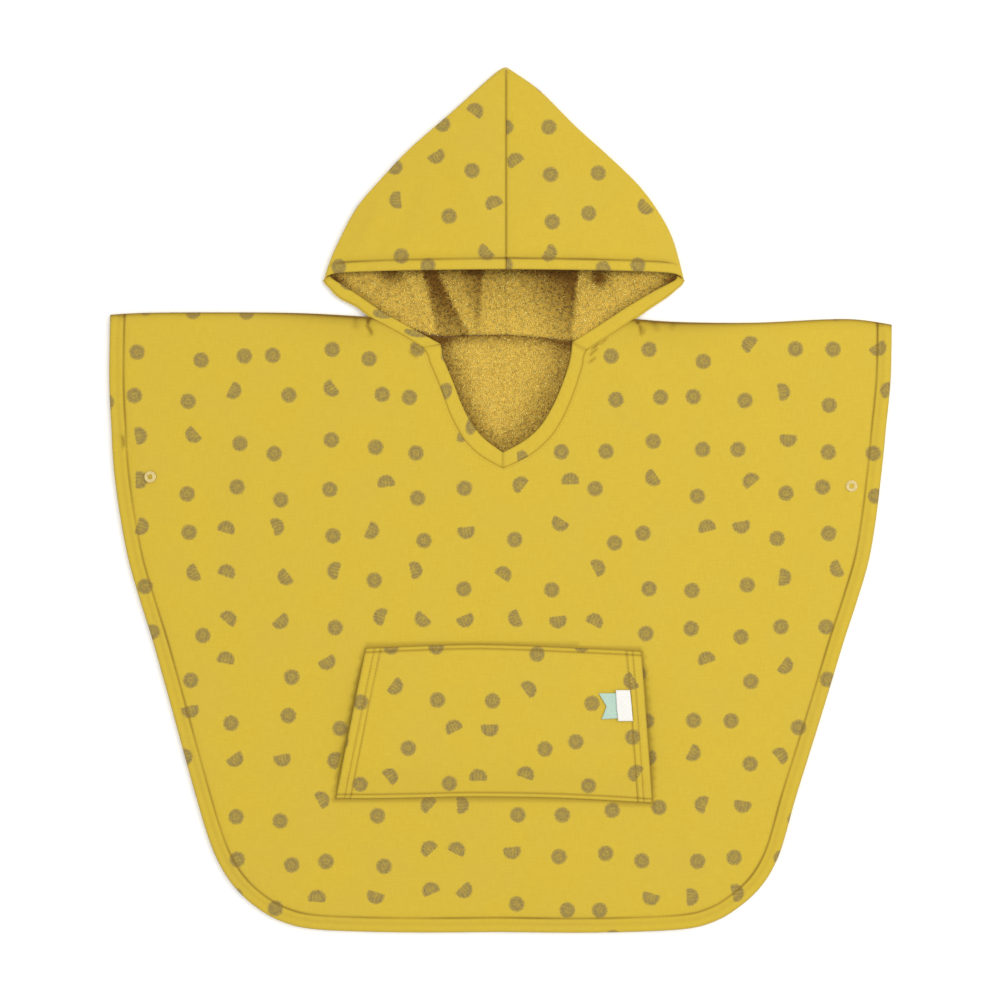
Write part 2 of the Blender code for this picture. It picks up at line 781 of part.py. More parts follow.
def make_hood(name, sign, shade):
    half = hood_half(sign)
    outer = [hood_section(half, t, 0.0, 1, 1.0, 0.0) for t in HOOD_ROWS]
    inner = [hood_section(half, t, CLOTH, 1, 0.0, 0.0) for t in HOOD_ROWS]
    return slab(name, outer, inner, shade)


def make_hood_lining(name, sign, shade):
    half = hood_half(sign)
    outer = [hood_section(half, t, LINING_BASE, 2, 0.0, 0.0) for t in HOOD_ROWS]
    inner = [hood_section(half, t, LINING_TOP, 2, 0.0, 1.0) for t in HOOD_ROWS]
    return slab(name, outer, inner, shade)


# ----------------------------------------------------------------- pocket and its label
POCKET_ACROSS = (
    *(0.0, 0.006, 0.045, 0.055, 0.12, 0.25, 0.4),
    *(0.55, 0.7, 0.85, 0.935, 0.955, 0.994, 1.0),
)
POCKET_UP = (0.0, 0.012, 0.04, 0.1, 0.17, 0.24, 0.5, 0.76, 0.83, 0.9, 0.96, 0.988, 1.0)
POCKET_LEFT = (POCKET_BOTTOM[0], POCKET_TOP[0])
POCKET_RIGHT = (POCKET_BOTTOM[-1], POCKET_TOP[-1])


def pocket_faces(spot):
    """The pocket rises from its top and bottom seams to a level middle, over the front."""
    end = min(distance(spot, POCKET_TOP), distance(spot, POCKET_BOTTOM))
    side = min(distance(spot, POCKET_LEFT), distance(spot, POCKET_RIGHT))
    arch = POCKET_RISE * soft_step((end - 3.0) / POCKET_SLOPE)
    turning = POCKET_HEM_RAISE * (1 - soft_step((side - POCKET_HEM) / HEM_SLOPE))
    base = front_top(spot) + GAP + arch
    return base, base + CLOTH + turning, min(side, end)


def make_pocket(shade):
    rows = []
    bottom = smooth(POCKET_BOTTOM, 3)
    top = smooth(POCKET_TOP, 3)
    for up in POCKET_UP:
        rows.append([between(along(bottom, s), along(top, s), up) for s in POCKET_ACROSS])
    upper, lower = lifted(rows, lambda spot: thinned(*pocket_faces(spot)))
    return slab("pocket", upper, lower, shade)


def strip_rows(corners, shares, notch):
    """Rows of points over a four-cornered strip, its left end cut in to a notch."""
    left_top, right_top, right_bottom, left_bottom = corners
    rows = []
    for up in shares:
        start = between(left_bottom, left_top, up)
        start = Point(start.x + notch * (1 - abs(2 * up - 1)), start.y)
        end = between(right_bottom, right_top, up)
        rows.append([between(start, end, across) for across in shares])
    return rows


STRIP_SHARES = (0.0, 0.05, 0.5, 0.95, 1.0)


def make_label(mint, satin):
    """A swallow-tailed ribbon on the pocket and a bare tag on the ribbon."""
    ribbon = strip_rows(RIBBON_CORNERS, STRIP_SHARES, RIBBON_NOTCH)
    base = max(pocket_faces(spot)[1] for row in ribbon for spot in row) + GAP
    upper, lower = lifted(ribbon, lambda spot: (base, base + RIBBON_THICK))
    slab("label_ribbon", upper, lower, mint)
    tag = strip_rows(TAG_CORNERS, STRIP_SHARES, 0.0)
    tag_base = base + RIBBON_THICK + GAP
    upper, lower = lifted(tag, lambda spot: (tag_base, tag_base + TAG_THICK))
    slab("label_tag", upper, lower, satin)


# ------------------------------------------------------------------------ press-studs
TURN_STEPS = 16


def turned(name, profile, centre, base, shade):
    """A closed profile of radius and height spun about an upright axis."""
    maker = bmesh.new()
    verts = [maker.verts.new((r * MM, 0.0, z * MM)) for r, z in profile]
    edges = [maker.edges.new(pair) for pair in zip(verts, verts[1:])]
    if profile[0][0] > 0.0:
        edges.append(maker.edges.new((verts[-1], verts[0])))
    bmesh.ops.spin(
        maker,
        geom=verts + edges,
        axis=(0, 0, 1),
        angle=2 * pi,
        steps=TURN_STEPS,
        use_merge=True,
    )
    bmesh.ops.translate(maker, verts=maker.verts, vec=Vector((centre.x, centre.y, base)) * MM)
    return place(name, maker, shade)


def make_snap(side, centre, shade):
    cap = (
        (SNAP_HOLE, 0.0),
        (SNAP_RADIUS - 0.5, 0.0),
        (SNAP_RADIUS, 0.35),
        (SNAP_RADIUS - 0.7, SNAP_HEIGHT),
        (SNAP_HOLE + 1.0, SNAP_HEIGHT - 0.1),
        (SNAP_HOLE, 0.4),
    )
    socket = (
        (0.0, 0.0),
        (SOCKET_RADIUS, 0.0),
        (SOCKET_RADIUS, SOCKET_HEIGHT - 0.3),
        (SOCKET_RADIUS - 0.4, SOCKET_HEIGHT),
        (0.0, SOCKET_HEIGHT),
    )
    on_front = front_top(centre) + GAP
    turned("snap_" + side + "_cap", cap, centre, on_front, shade)
    turned("snap_" + side + "_socket", socket, centre, LINING_TOP + GAP, shade)


# --------------------------------------------------------------------------- assembly
def clear_scene():
    for old in list(bpy.data.objects):
        bpy.data.objects.remove(old, do_unlink=True)


def build():
    clear_scene()
    cotton = material("woven_cotton_mustard", (0.70, 0.52, 0.045), 0.85)
    terry = material("terry_ochre", (0.56, 0.36, 0.07), 0.95)
    resin = material("snap_resin_cream", (0.80, 0.75, 0.42), 0.4)
    satin = material("satin_white", (0.88, 0.87, 0.84), 0.5)
    mint = material("ribbon_mint", (0.52, 0.74, 0.66), 0.6)
    make_back_panel(cotton)
    make_back_lining(terry)
    make_front_panel(cotton)
    make_neck_bands(cotton)
    make_hood_bands(cotton)
    for name, sign in (("left", -1), ("right", 1)):
        make_hood("hood_" + name, sign, cotton)
        make_hood_lining("hood_lining_" + name, sign, terry)
    make_pocket(cotton)
    make_label(mint, satin)
    make_snap("left", SNAP_LEFT, resin)
    make_snap("right", SNAP_RIGHT, resin)


build()
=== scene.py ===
"""Looks of a child's hooded bath poncho that lies flat on its back.

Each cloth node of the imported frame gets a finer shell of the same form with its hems, seams,
stitches and creases, and the terry gets loops where it shows. Tables are in millimetres.
"""

from math import cos, hypot, pi, sin
from random import Random

import bmesh
import bpy
from mathutils import Matrix, Vector
from mathutils.bvhtree import BVHTree
from mathutils.geometry import delaunay_2d_cdt
from mathutils.kdtree import KDTree
import numpy as np


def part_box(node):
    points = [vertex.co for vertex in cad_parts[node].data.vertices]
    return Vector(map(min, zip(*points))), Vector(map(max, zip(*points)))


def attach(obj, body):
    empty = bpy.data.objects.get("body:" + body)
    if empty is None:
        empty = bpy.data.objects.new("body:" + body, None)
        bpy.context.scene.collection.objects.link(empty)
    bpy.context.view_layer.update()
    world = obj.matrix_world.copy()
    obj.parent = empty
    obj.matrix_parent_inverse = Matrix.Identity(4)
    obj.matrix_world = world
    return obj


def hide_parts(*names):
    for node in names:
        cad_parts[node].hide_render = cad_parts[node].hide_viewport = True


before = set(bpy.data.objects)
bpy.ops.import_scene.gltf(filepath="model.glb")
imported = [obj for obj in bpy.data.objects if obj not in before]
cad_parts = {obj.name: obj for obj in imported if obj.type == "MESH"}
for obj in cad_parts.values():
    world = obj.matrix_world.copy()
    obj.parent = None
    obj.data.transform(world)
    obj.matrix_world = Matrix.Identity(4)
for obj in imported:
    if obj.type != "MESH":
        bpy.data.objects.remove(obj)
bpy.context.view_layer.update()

bl_info = {
    "name": "Hooded bath poncho",
    "version": (1, 0, 0),
    "blender": (4, 5, 0),
    "location": "View3D > Sidebar > Poncho",
    "description": "Dresses a laid hooded bath poncho in printed cotton and terry",
    "category": "Object",
}

MM = 0.001

# ------------------------------------------------------------------ corners and tables
SHOULDER_LEFT = (-331.6, 157.4)
SHOULDER_RIGHT = (332.4, 149.0)
NECK_LEFT = (-110.9, 155.6)
NECK_RIGHT = (113.5, 153.9)
BAND_TURN_LEFT = (-65.9, 129.4)
BAND_TURN_RIGHT = (72.7, 127.0)
NECK_POINT = (2.1, 27.2)

SNAPS = (("left", (-297.1, 19.6)), ("right", (297.9, 11.9)))

CLOTH = 1.2           # printed cotton
TERRY = 1.8
GAP = 0.3
PANEL = 2.3           # front wall with its terry
HOOD_RADIUS = 4.3     # half of the hood's thickness at its side folds
HOOD_CROWN = 12.0     # rise of the hood's upper layer over the mouth
HOOD_TIP = (4.7, 368.0)
HOOD_BROW = 194.6
LINING_TOP = CLOTH + GAP + TERRY

HOOD_SIDES = {
    -1: (
        (4.7, 368.0),
        (-4.6, 362.6),
        (-39.6, 331.2),
        (-77.2, 298.4),
        (-100.4, 274.0),
        (-122.0, 248.8),
        (-137.0, 221.0),
        (-145.2, 202.4),
        (-150.0, 187.0),
    ),
    1: (
        (4.7, 368.0),
        (13.0, 362.6),
        (34.4, 347.0),
        (64.0, 317.4),
        (90.4, 293.6),
        (117.8, 267.0),
        (136.0, 242.2),
        (147.2, 219.6),
        (156.0, 187.0),
    ),
}
HOOD_FEET = {
    -1: (
        (4.7, 140.55),
        (-25.0, 140.15),
        (-50.6, 139.05),
        (-80.0, 146.65),
        (-110.9, 155.75),
        (-127.1, 170.15),
        (-150.0, 187.15),
    ),
    1: (
        (4.7, 140.55),
        (33.0, 138.55),
        (60.8, 134.95),
        (88.0, 141.65),
        (113.5, 154.05),
        (133.0, 168.15),
        (156.0, 187.15),
    ),
}

# Soft ridges (troughs, with a negative height): x and y of both ends, reach, height.
FRONT_CREASES = (
    (-150.0, 138.0, -252.0, 128.0, 9.0, 0.8),
    (-118.0, 148.0, -160.0, 120.0, 8.0, -0.9),
    (-92.0, 128.0, -118.0, 96.0, 7.0, 1.0),
    (-80.0, 110.0, -104.0, 60.0, 8.0, -0.7),
    (92.0, 122.0, 118.0, 92.0, 7.0, 1.0),
    (82.0, 104.0, 108.0, 52.0, 8.0, -0.7),
    (122.0, 146.0, 170.0, 118.0, 8.0, -0.9),
    (160.0, 132.0, 262.0, 126.0, 9.0, 0.8),
    (-316.0, 100.0, -300.0, 10.0, 10.0, 0.8),
    (316.0, 96.0, 296.0, -20.0, 10.0, 0.8),
    (-150.0, -240.0, -196.0, -330.0, 12.0, 0.7),
    (150.0, -262.0, 178.0, -336.0, 12.0, 0.7),
    (-60.0, -40.0, -110.0, -104.0, 14.0, 0.7),
    (70.0, -30.0, 120.0, -96.0, 14.0, 0.7),
    (-30.0, 10.0, -12.0, -70.0, 12.0, -0.6),
    (60.0, -282.0, 20.0, -350.0, 12.0, 0.6),
    (-226.0, 60.0, -206.0, -30.0, 16.0, 0.7),
    (222.0, 70.0, 208.0, -46.0, 16.0, 0.7),
)
# Short sharp folds where the hood and the neck band are sewn in.
FRONT_NIPS = (
    (-110.0, 157.0, -114.0, 148.0, 2.2, -1.5),
    (-114.5, 151.0, -108.5, 138.0, 2.2, -1.3),
    (-124.0, 157.0, -121.0, 143.0, 3.6, -0.5),
    (113.5, 156.0, 118.5, 149.0, 2.2, -1.4),
    (118.0, 151.0, 119.5, 138.0, 2.2, -1.2),
    (130.0, 154.0, 132.0, 141.0, 3.6, -0.45),
    (146.0, 152.0, 147.0, 142.0, 4.0, -0.35),
    (-321.5, 57.0, -319.6, 43.0, 1.8, -1.1),
    (-73.0, 138.0, -64.0, 128.0, 1.5, -1.1),
    (-78.0, 134.0, -66.5, 124.0, 1.5, -1.0),
    (-80.0, 128.0, -69.0, 119.0, 1.4, -0.7),
    (86.0, 136.0, 76.0, 127.0, 1.5, -1.2),
    (84.0, 130.0, 74.0, 121.0, 1.5, -1.1),
    (82.0, 123.0, 73.5, 115.0, 1.5, -1.0),
    (92.0, 139.0, 83.0, 131.0, 1.4, -0.8),
)
BACK_CREASES = (
    (-240.0, 90.0, -150.0, -10.0, 16.0, 0.4),
    (230.0, 80.0, 160.0, -20.0, 16.0, 0.4),
    (-180.0, -120.0, -150.0, -300.0, 14.0, 0.4),
    (170.0, -140.0, 150.0, -290.0, 14.0, 0.35),
    (-40.0, 90.0, 30.0, -40.0, 18.0, 0.4),
    (20.0, -100.0, -30.0, -250.0, 16.0, 0.3),
)
HOOD_CREASES = (
    (-110.0, 214.0, -58.0, 214.0, 7.0, 1.0),
    (44.0, 206.0, 92.0, 212.0, 7.0, 1.5),
    (26.0, 214.0, 58.0, 196.0, 6.0, 1.2),
    (-40.0, 300.0, -16.0, 228.0, 13.0, 1.5),
    (52.0, 290.0, 28.0, 232.0, 13.0, 1.4),
    (-70.0, 282.0, -88.0, 222.0, 11.0, -1.1),
    (76.0, 280.0, 90.0, 224.0, 11.0, -1.2),
    (-96.0, 256.0, -126.0, 206.0, 10.0, 1.5),
    (104.0, 262.0, 136.0, 204.0, 10.0, 1.5),
)
# Pleats of the terry inside the hood, running down to the corners of the neck.
PLEATS = (
    (-78.0, 206.0, -60.0, 140.0, 11.0, 4.5),
    (-64.0, 196.0, -25.0, 146.0, 5.0, -2.0),
    (-24.0, 204.0, -32.0, 166.0, 10.0, 2.4),
    (0.0, 206.0, 6.0, 158.0, 12.0, 1.8),
    (76.0, 208.0, 70.0, 142.0, 10.0, 4.5),
    (60.0, 204.0, 56.0, 144.0, 6.0, -1.6),
    (32.0, 204.0, 38.0, 160.0, 11.0, 2.2),
    (84.0, 199.0, 74.0, 183.0, 5.0, -1.6),
    (-95.0, 199.0, -84.0, 184.0, 6.0, -1.4),
    (-116.0, 204.0, -96.0, 176.0, 12.0, 2.0),
    (106.0, 204.0, 96.0, 172.0, 12.0, 2.0),
)
# Folds of the terry inside the hood that lie in painted shade: x of both edges under the
# brow, x of both at the neck seam, and how dark each edge is.
SHADED_FOLDS = (
    (-66.0, -54.0, -54.0, -27.0, 0.7, 1.0),
    (-34.0, -15.0, -22.0, -18.0, 0.2, 0.6),
    (12.0, 66.0, 30.0, 61.0, 0.0, 0.8),
)
# Deep spots of painted shade beside them: x, y, reach and darkness.
SHADED_SPOTS = (
    (84.0, 188.0, 7.0, 1.0),
    (-93.0, 191.0, 9.0, 0.6),
    (-140.0, 186.0, 7.0, 0.5),
    (145.0, 186.0, 8.0, 0.5),
)
BANDS = ("neck_band_left", "neck_band_right", "hood_band_left", "hood_band_right")
BAND_STEP = 2.0       # distance between the rows of points along a band
# Where the cheeks' bands curl round into the brow: the seam's points, the free edge's.
BAND_CORNERS = {
    "hood_band_left": (((-147.9, 183.2), (-150.2, 186.8)), ((-142.6, 187.9), (-144.8, 190.2))),
    "hood_band_right": (((153.6, 182.8), (155.9, 186.8)), ((149.3, 187.9), (150.0, 190.2))),
}
# Distances from the hood's mouth at which its rows of points lie, round the hem's groove.
HEM_ROW = 9.5
MOUTH_ROWS = (20.0, 17.0, 14.5, 12.5, 11.2, 10.4, 9.9, HEM_ROW, 9.1, 8.6) + (
    7.4, 5.8, 4.2, 2.6, 1.4, 0.7, 0.3, 0.0
)
# How far up into the hood the terry's pleats and loops can be seen.
SEEN_TO = 232.0

# The camera's, in metres and in millimetres of film: the width of what the photo shows.
FRAME_WIDTH = 0.85
LENS = 85.0
SENSOR = 36.0


# ------------------------------------------------------------------- plane geometry, mm
def away(points, path):
    """Distance of each point to a path, and how far along it the nearest point is."""
    best = np.full(len(points), 1e9)
    along = np.zeros(len(points))
    run = 0.0
    for start, end in zip(path[:-1], path[1:]):
        step = end - start
        length = max(1e-6, hypot(*step))
        share = np.clip(((points - start) @ step) / length**2, 0.0, 1.0)
        gap = points - start - share[:, None] * step
        far = np.hypot(gap[:, 0], gap[:, 1])
        nearer = far < best
        best[nearer] = far[nearer]
        along[nearer] = run + share[nearer] * length
        run += length
    return best, along


def closed(loop):
    return np.vstack((loop, loop[:1]))


def measured(path):
    """A path with the share of its length at each point."""
    path = np.asarray(path, dtype=float)
    runs = np.concatenate(([0.0], np.cumsum(np.hypot(*np.diff(path, axis=0).T))))
    return path, runs / runs[-1], runs[-1]


def at_share(path, share):
    points, shares, _ = path
    return np.stack([np.interp(share, shares, points[:, k]) for k in (0, 1)], axis=-1)


def even(path, spacing):
    """The same path with points an even distance apart."""
    path = measured(path)
    return at_share(path, np.linspace(0.0, 1.0, max(1, round(path[2] / spacing)) + 1))


def curve(path, spacing):
    """A soft curve through the points, cut into spans of nearly one length."""
    path = np.asarray(path, dtype=float)
    fine = []
    for here in range(len(path) - 1):
        start = path[here]
        end = path[here + 1]
        tangent_in = (end - path[max(here - 1, 0)]) / 2
        tangent_out = (path[min(here + 2, len(path) - 1)] - start) / 2
        for t in np.arange(0.0, 1.0, 0.125):
            bend = 2 * (start - end) + tangent_in + tangent_out
            rise = 3 * (end - start) - 2 * tangent_in - tangent_out
            fine.append(start + t * (tangent_in + t * (rise + t * bend)))
    fine.append(path[-1])
    return even(fine, spacing)


def offset(path, depth):
    """A path moved to its left, without the points that would turn back."""
    tangent = np.gradient(path, axis=0)
    tangent /= np.hypot(tangent[:, 0], tangent[:, 1])[:, None]
    moved = path + depth * np.column_stack((-tangent[:, 1], tangent[:, 0]))
    return moved[away(moved, path)[0] > abs(depth) * 0.97 - 0.001]


def loop_area(loop):
    x, y = loop.T
    return 0.5 * float(np.sum(x * np.roll(y, -1) - y * np.roll(x, -1)))


def within(points, loop):
    """Which of the points lie inside a closed loop."""
    held = np.zeros(len(points), dtype=bool)
    for start, end in zip(loop, np.roll(loop, -1, axis=0)):
        crosses = (start[1] > points[:, 1]) != (end[1] > points[:, 1])
        rise = end[1] - start[1] or 1e-9
        held ^= crosses & (points[:, 0] < start[0] + (end[0] - start[0]) * (points[:, 1] - start[1]) / rise)
    return held


def soft_step(value):
    value = np.clip(value, 0.0, 1.0)
    return value * value * (3 - 2 * value)


def bell(distance, reach):
    return np.exp(-((distance / reach) ** 2))


def creased(points, creases):
    """Height of a table of soft ridges, each dying away at its ends."""
    height = np.zeros(len(points))
    for x1, y1, x2, y2, reach, rise in creases:
        run = np.array((x2 - x1, y2 - y1))
        from_start = points - (x1, y1)
        share = from_start @ run / (run @ run)
        wander = 0.25 * reach * np.sin(share * 5.0 + x1)
        across = (from_start[:, 0] * run[1] - from_start[:, 1] * run[0]) / hypot(*run) + wander
        height += rise * soft_step(1.5 - 3 * np.abs(share - 0.5)) * bell(across, 0.7 * reach)
    return height


def uneven_wave(run, length, wander):
    """Waves of about one length, drawn out and pressed together along a seam."""
    return np.sin(2 * pi * run / length + 1.8 * np.sin(run / wander)) * (0.7 + 0.3 * np.sin(run / 41.0))


def uneven_groove_shade(run):
    """Painted shade in the groove of a line of stitches, deeper in some places than in others."""
    return 0.74 + 0.16 * np.sin(run / 37.0) + 0.14 * np.sin(run / 11.0 + 1.0)


def rounded(rim, reach=1.2, share=0.3):
    """Share of the full thickness at a distance from the cloth's edge."""
    inner = np.clip(rim / reach, 0.0, 1.0)
    return share + (1 - share) * np.sqrt(1 - (1 - inner) ** 2)


# ---------------------------------------------------------------------- reading the frame
def node_outline(node):
    """Closed outline of a laid cloth node: the edges between its upright rim and its top."""
    maker = bmesh.new()
    maker.from_mesh(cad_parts[node].data)
    bmesh.ops.remove_doubles(maker, verts=maker.verts, dist=1e-5)
    links = {}
    for edge in maker.edges:
        ups = [face.normal.z for face in edge.link_faces]
        if len(ups) == 2 and abs(min(ups)) < 0.02 and max(ups) > 0.05:
            for vert in edge.verts:
                links.setdefault(vert, []).append(edge.other_vert(vert))
    first = next(iter(links))
    loop = [first]
    before = None
    while len(loop) <= len(links):
        onward = [vert for vert in links[loop[-1]] if vert is not before]
        before = loop[-1]
        if onward[0] is first:
            break
        loop.append(onward[0])
    path = np.array([(vert.co.x / MM, vert.co.y / MM) for vert in loop])
    maker.free()
    return path if loop_area(path) > 0 else path[::-1]


def stretch(loop, start, end):
    """The part of a closed loop between the points nearest to two corners, turning left."""
    first = int(np.argmin(np.hypot(*(loop - np.array(start)).T)))
    last = int(np.argmin(np.hypot(*(loop - np.array(end)).T)))
    return loop[[(first + k) % len(loop) for k in range((last - first) % len(loop) + 1)]]


def four_sides(loop):
    """A strip's outline cut at its four sharpest corners."""
    into = loop - np.roll(loop, 1, axis=0)
    out = np.roll(loop, -1, axis=0) - loop
    cosine = np.sum(into * out, axis=1) / np.hypot(*into.T) / np.hypot(*out.T)
    corners = sorted(np.argsort(cosine)[:4])
    return [stretch(loop, loop[a], loop[b]) for a, b in zip(corners, corners[1:] + corners[:1])]


def surface(*meshes):
    maker = bmesh.new()
    for mesh in meshes:
        maker.from_mesh(mesh)
    tree = BVHTree.FromBMesh(maker)
    maker.free()
    return tree


def underside(points, rim, node, clear=2.5):
    """Height of a node's underside; close to its edge, that of the nearest inner point."""
    tree = surface(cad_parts[node].data)
    height = np.zeros(len(points))
    found = KDTree(len(points))
    missing = []
    for k, (x, y) in enumerate(points):
        hit = tree.ray_cast(Vector((x * MM, y * MM, -0.05)), Vector((0, 0, 1)))[0]
        if hit is None or rim[k] < clear:
            missing.append(k)
            continue
        height[k] = hit.z / MM
        found.insert((x, y, 0.0), k)
    found.balance()
    for k in missing:
        height[k] = height[found.find((*points[k], 0.0))[1]]
    return height


def settle(faces, height, rounds):
    """Heights evened out over the mesh, so that no facet of the node shows."""
    pairs = {(min(a, b), max(a, b)) for face in faces for a, b in zip(face, face[1:] + face[:1])}
    first, second = np.array(sorted(pairs)).T
    count = np.bincount(np.concatenate((first, second)), minlength=len(height))
    for _ in range(rounds):
        sums = np.bincount(first, height[second], len(height))
        sums += np.bincount(second, height[first], len(height))
        height = 0.5 * height + 0.5 * sums / count
    return height


# -------------------------------------------------------------------------- mesh building
GARMENT = {}
LINES = {}


def plane_mesh(loop, chains, spacing, clear):
    """Flat triangles inside a loop: its own points, lines that run beside it, and a
    staggered grid away from both."""
    low = loop.min(axis=0)
    high = loop.max(axis=0)
    grid = []
    for k, y in enumerate(np.arange(low[1], high[1], spacing * 0.87)):
        xs = np.arange(low[0] + 0.5 * spacing * (k % 2), high[0], spacing)
        grid.append(np.column_stack((xs, np.full(len(xs), y))))
    grid = np.concatenate(grid)
    grid = grid[within(grid, loop)]
    grid = grid[away(grid, closed(loop))[0] > clear]
    spots = [loop]
    for chain, reach in chains:
        inner = chain[within(chain, loop)]
        spots.append(inner[away(inner, closed(loop))[0] > 0.18])
        grid = grid[away(grid, chain)[0] > reach]
    spots.append(grid)
    edges = [(k, (k + 1) % len(loop)) for k in range(len(loop))]
    corners, _, faces = delaunay_2d_cdt([Vector(p) for p in np.concatenate(spots)], edges, [], 1, 1e-4)[:3]
    return np.array([(c.x, c.y) for c in corners]), faces


def shell(upper, lower, faces, border, uv, shade):
    """A closed wall of two like meshes, joined along their border, outer one first."""
    maker = bmesh.new()
    cut = maker.loops.layers.uv.new("cut")
    # The shade layer carries painted shade, by which the materials darken the colour.
    tone = maker.verts.layers.float.new("shade")
    sides = [[maker.verts.new(Vector(p) * MM) for p in side] for side in (upper, lower)]
    for vert, value in zip(sides[0], shade):
        vert[tone] = value
    walls = [(sides[0][b], sides[0][a], sides[1][a], sides[1][b], a, b) for a, b in border]
    for side in (0, 1):
        for face in faces:
            made = maker.faces.new([sides[side][k] for k in (face if side == 0 else face[::-1])])
            for corner, k in zip(made.loops, face if side == 0 else face[::-1]):
                corner[cut].uv = uv[k]
    for *corners, a, b in walls:
        made = maker.faces.new(corners)
        for corner, k in zip(made.loops, (b, a, a, b)):
            corner[cut].uv = uv[k]
    bmesh.ops.recalc_face_normals(maker, faces=maker.faces)
    return maker


def cloth_wall(points, faces, base, top, shade, shift=(0.0, 0.0)):
    """A wall over a plane mesh with its own lower and upper heights."""
    count = {}
    for face in faces:
        for a, b in zip(face, face[1:] + face[:1]):
            count[(a, b)] = 1
    border = [(a, b) for a, b in count if (b, a) not in count]
    uv = (points + shift) * MM
    return shell(np.column_stack((points, top)), np.column_stack((points, base)), faces, border, uv, shade)


def quads(rows, columns):
    """The four-sided faces of a grid of points, row by row."""
    at = np.arange(rows * columns).reshape(rows, columns)
    return [
        [at[i, j], at[i, j + 1], at[i + 1, j + 1], at[i + 1, j]]
        for i in range(rows - 1)
        for j in range(columns - 1)
    ]


def grid_wall(outer, inner, uv, shade):
    """A wall between two grids of points."""
    rows, columns = outer.shape[:2]
    at = np.arange(rows * columns).reshape(rows, columns)
    faces = quads(rows, columns)
    ring = list(at[0]) + list(at[1:, -1]) + list(at[-1, -2::-1]) + list(at[-2:0:-1, 0])
    border = list(zip(ring, ring[1:] + ring[:1]))
    return shell(outer.reshape(-1, 3), inner.reshape(-1, 3), faces, border, uv.reshape(-1, 2), shade.ravel())


def finish_mesh(mesh, shade, nodes=(), angle=pi / 3):
    """The object of a mesh, which rides on the garment and stands for its nodes."""
    mesh.materials.append(shade)
    mesh.shade_smooth()
    mesh.set_sharp_from_angle(angle=angle)
    piece = bpy.data.objects.new(mesh.name, mesh)
    bpy.context.collection.objects.link(piece)
    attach(piece, "root")
    if nodes:
        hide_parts(*nodes)
    GARMENT[mesh.name] = piece
    return piece


def finish_piece(maker, name, shade, nodes=(), angle=pi / 3):
    mesh = bpy.data.meshes.new(name)
    maker.to_mesh(mesh)
    maker.free()
    return finish_mesh(mesh, shade, nodes, angle)


def lay(maker, name, node, flat, kind="cotton"):
    """A cloth piece that stands for its node, in the material of its kind. The size of its cut, in
    millimetres, is not used.
    """
    piece = finish_piece(maker, name, GARMENT[kind], [node])
    flat = tuple(float(side) * MM for side in flat)
    return piece


def copies(name, template, faces, spots, shade, slot, tones):
    """One joined mesh of a small shape set at many places (4 by 4 matrices, in mm)."""
    corners = np.column_stack((np.array(template), np.ones(len(template))))
    placed = np.concatenate([corners @ np.array(spot).T for spot in spots])[:, :3] * MM
    many = [tuple(k * len(template) + i for i in face) for k in range(len(spots)) for face in faces]
    mesh = bpy.data.meshes.new(name)
    mesh.from_pydata(placed.tolist(), [], many)
    # The shade attribute carries each copy's painted shade. The loops' attribute also holds a random tone.
    tone = mesh.attributes.new("shade", "FLOAT", "POINT")
    tone.data.foreach_set("value", np.repeat(np.asarray(tones, dtype=np.float32), len(template)))
    return finish_mesh(mesh, shade, angle=pi)


# ------------------------------------------------------------------------------ materials
def linear(hex_colour):
    """An sRGB hex colour as linear light."""
    channels = [((hex_colour >> shift) & 255) / 255 for shift in (16, 8, 0)]
    return [c / 12.92 if c <= 0.04045 else ((c + 0.055) / 1.055) ** 2.4 for c in channels]


def new_material(name, roughness, **sockets):
    shade = bpy.data.materials.new(name)
    shade.use_nodes = True
    shader = shade.node_tree.nodes["Principled BSDF"]
    shader.inputs["Roughness"].default_value = roughness
    for socket, value in sockets.items():
        shader.inputs[socket.replace("_", " ")].default_value = value
    return shade, shade.node_tree.nodes, shader


def add_node(nodes, kind, *values, output=0, **settings):
    """The output of a new node; values go to its sockets in order, as links or numbers."""
    node = nodes.new("ShaderNode" + kind)
    for name, value in settings.items():
        setattr(node, name, value)
    for socket, value in zip(node.inputs, values):
        if isinstance(value, bpy.types.NodeSocket):
            node.id_data.links.new(value, socket)
        elif value is not None:
            socket.default_value = value
    return node.outputs[output]


def maths(nodes, operation, *values, clamp=False):
    return add_node(nodes, "Math", *values, operation=operation, use_clamp=clamp)


def blend(nodes, factor, first, second):
    """A colour between two, each a linear triple or another node's output."""
    colours = [c if isinstance(c, bpy.types.NodeSocket) else (*c, 1.0) for c in (first, second)]
    unused = [None] * 5
    return add_node(nodes, "Mix", factor, *unused, *colours, output=2, data_type="RGBA")


def stretched(nodes, vector, factors):
    return add_node(nodes, "VectorMath", vector, factors, operation="MULTIPLY")


def noise(nodes, vector, size, detail=2.0, roughness=0.5):
    """Noise whose grains measure the given size in millimetres."""
    return add_node(nodes, "TexNoise", vector, None, 1.0 / size, detail, roughness)


def millimetres(nodes, cut):
    """The piece's place on its flat cut, which follows every fold, or its place in space."""
    if cut:
        place = add_node(nodes, "UVMap", uv_map="cut")
    else:
        place = add_node(nodes, "TexCoord", output=3)
    return stretched(nodes, place, (1000.0, 1000.0, 1000.0))


def plug(shade, shader, colour, height=None, distance=0.0, strength=0.5):
    """Joins a colour, and a height in millimetres as bump, to a shader."""
    links = shade.node_tree.links
    links.new(colour, shader.inputs["Base Color"])
    if height is not None:
        bump = add_node(shade.node_tree.nodes, "Bump", strength, distance * MM)
        node = bump.node
        links.new(height, node.inputs["Height"])
        links.new(bump, shader.inputs["Normal"])
    return shade


def shade_of(nodes):
    """Painted shade: how dark the cloth is drawn in a seam, a fold or a turned edge, as its mesh's shade
    attribute states it.
    """
    return add_node(nodes, "Attribute", output=2, attribute_name="shade")


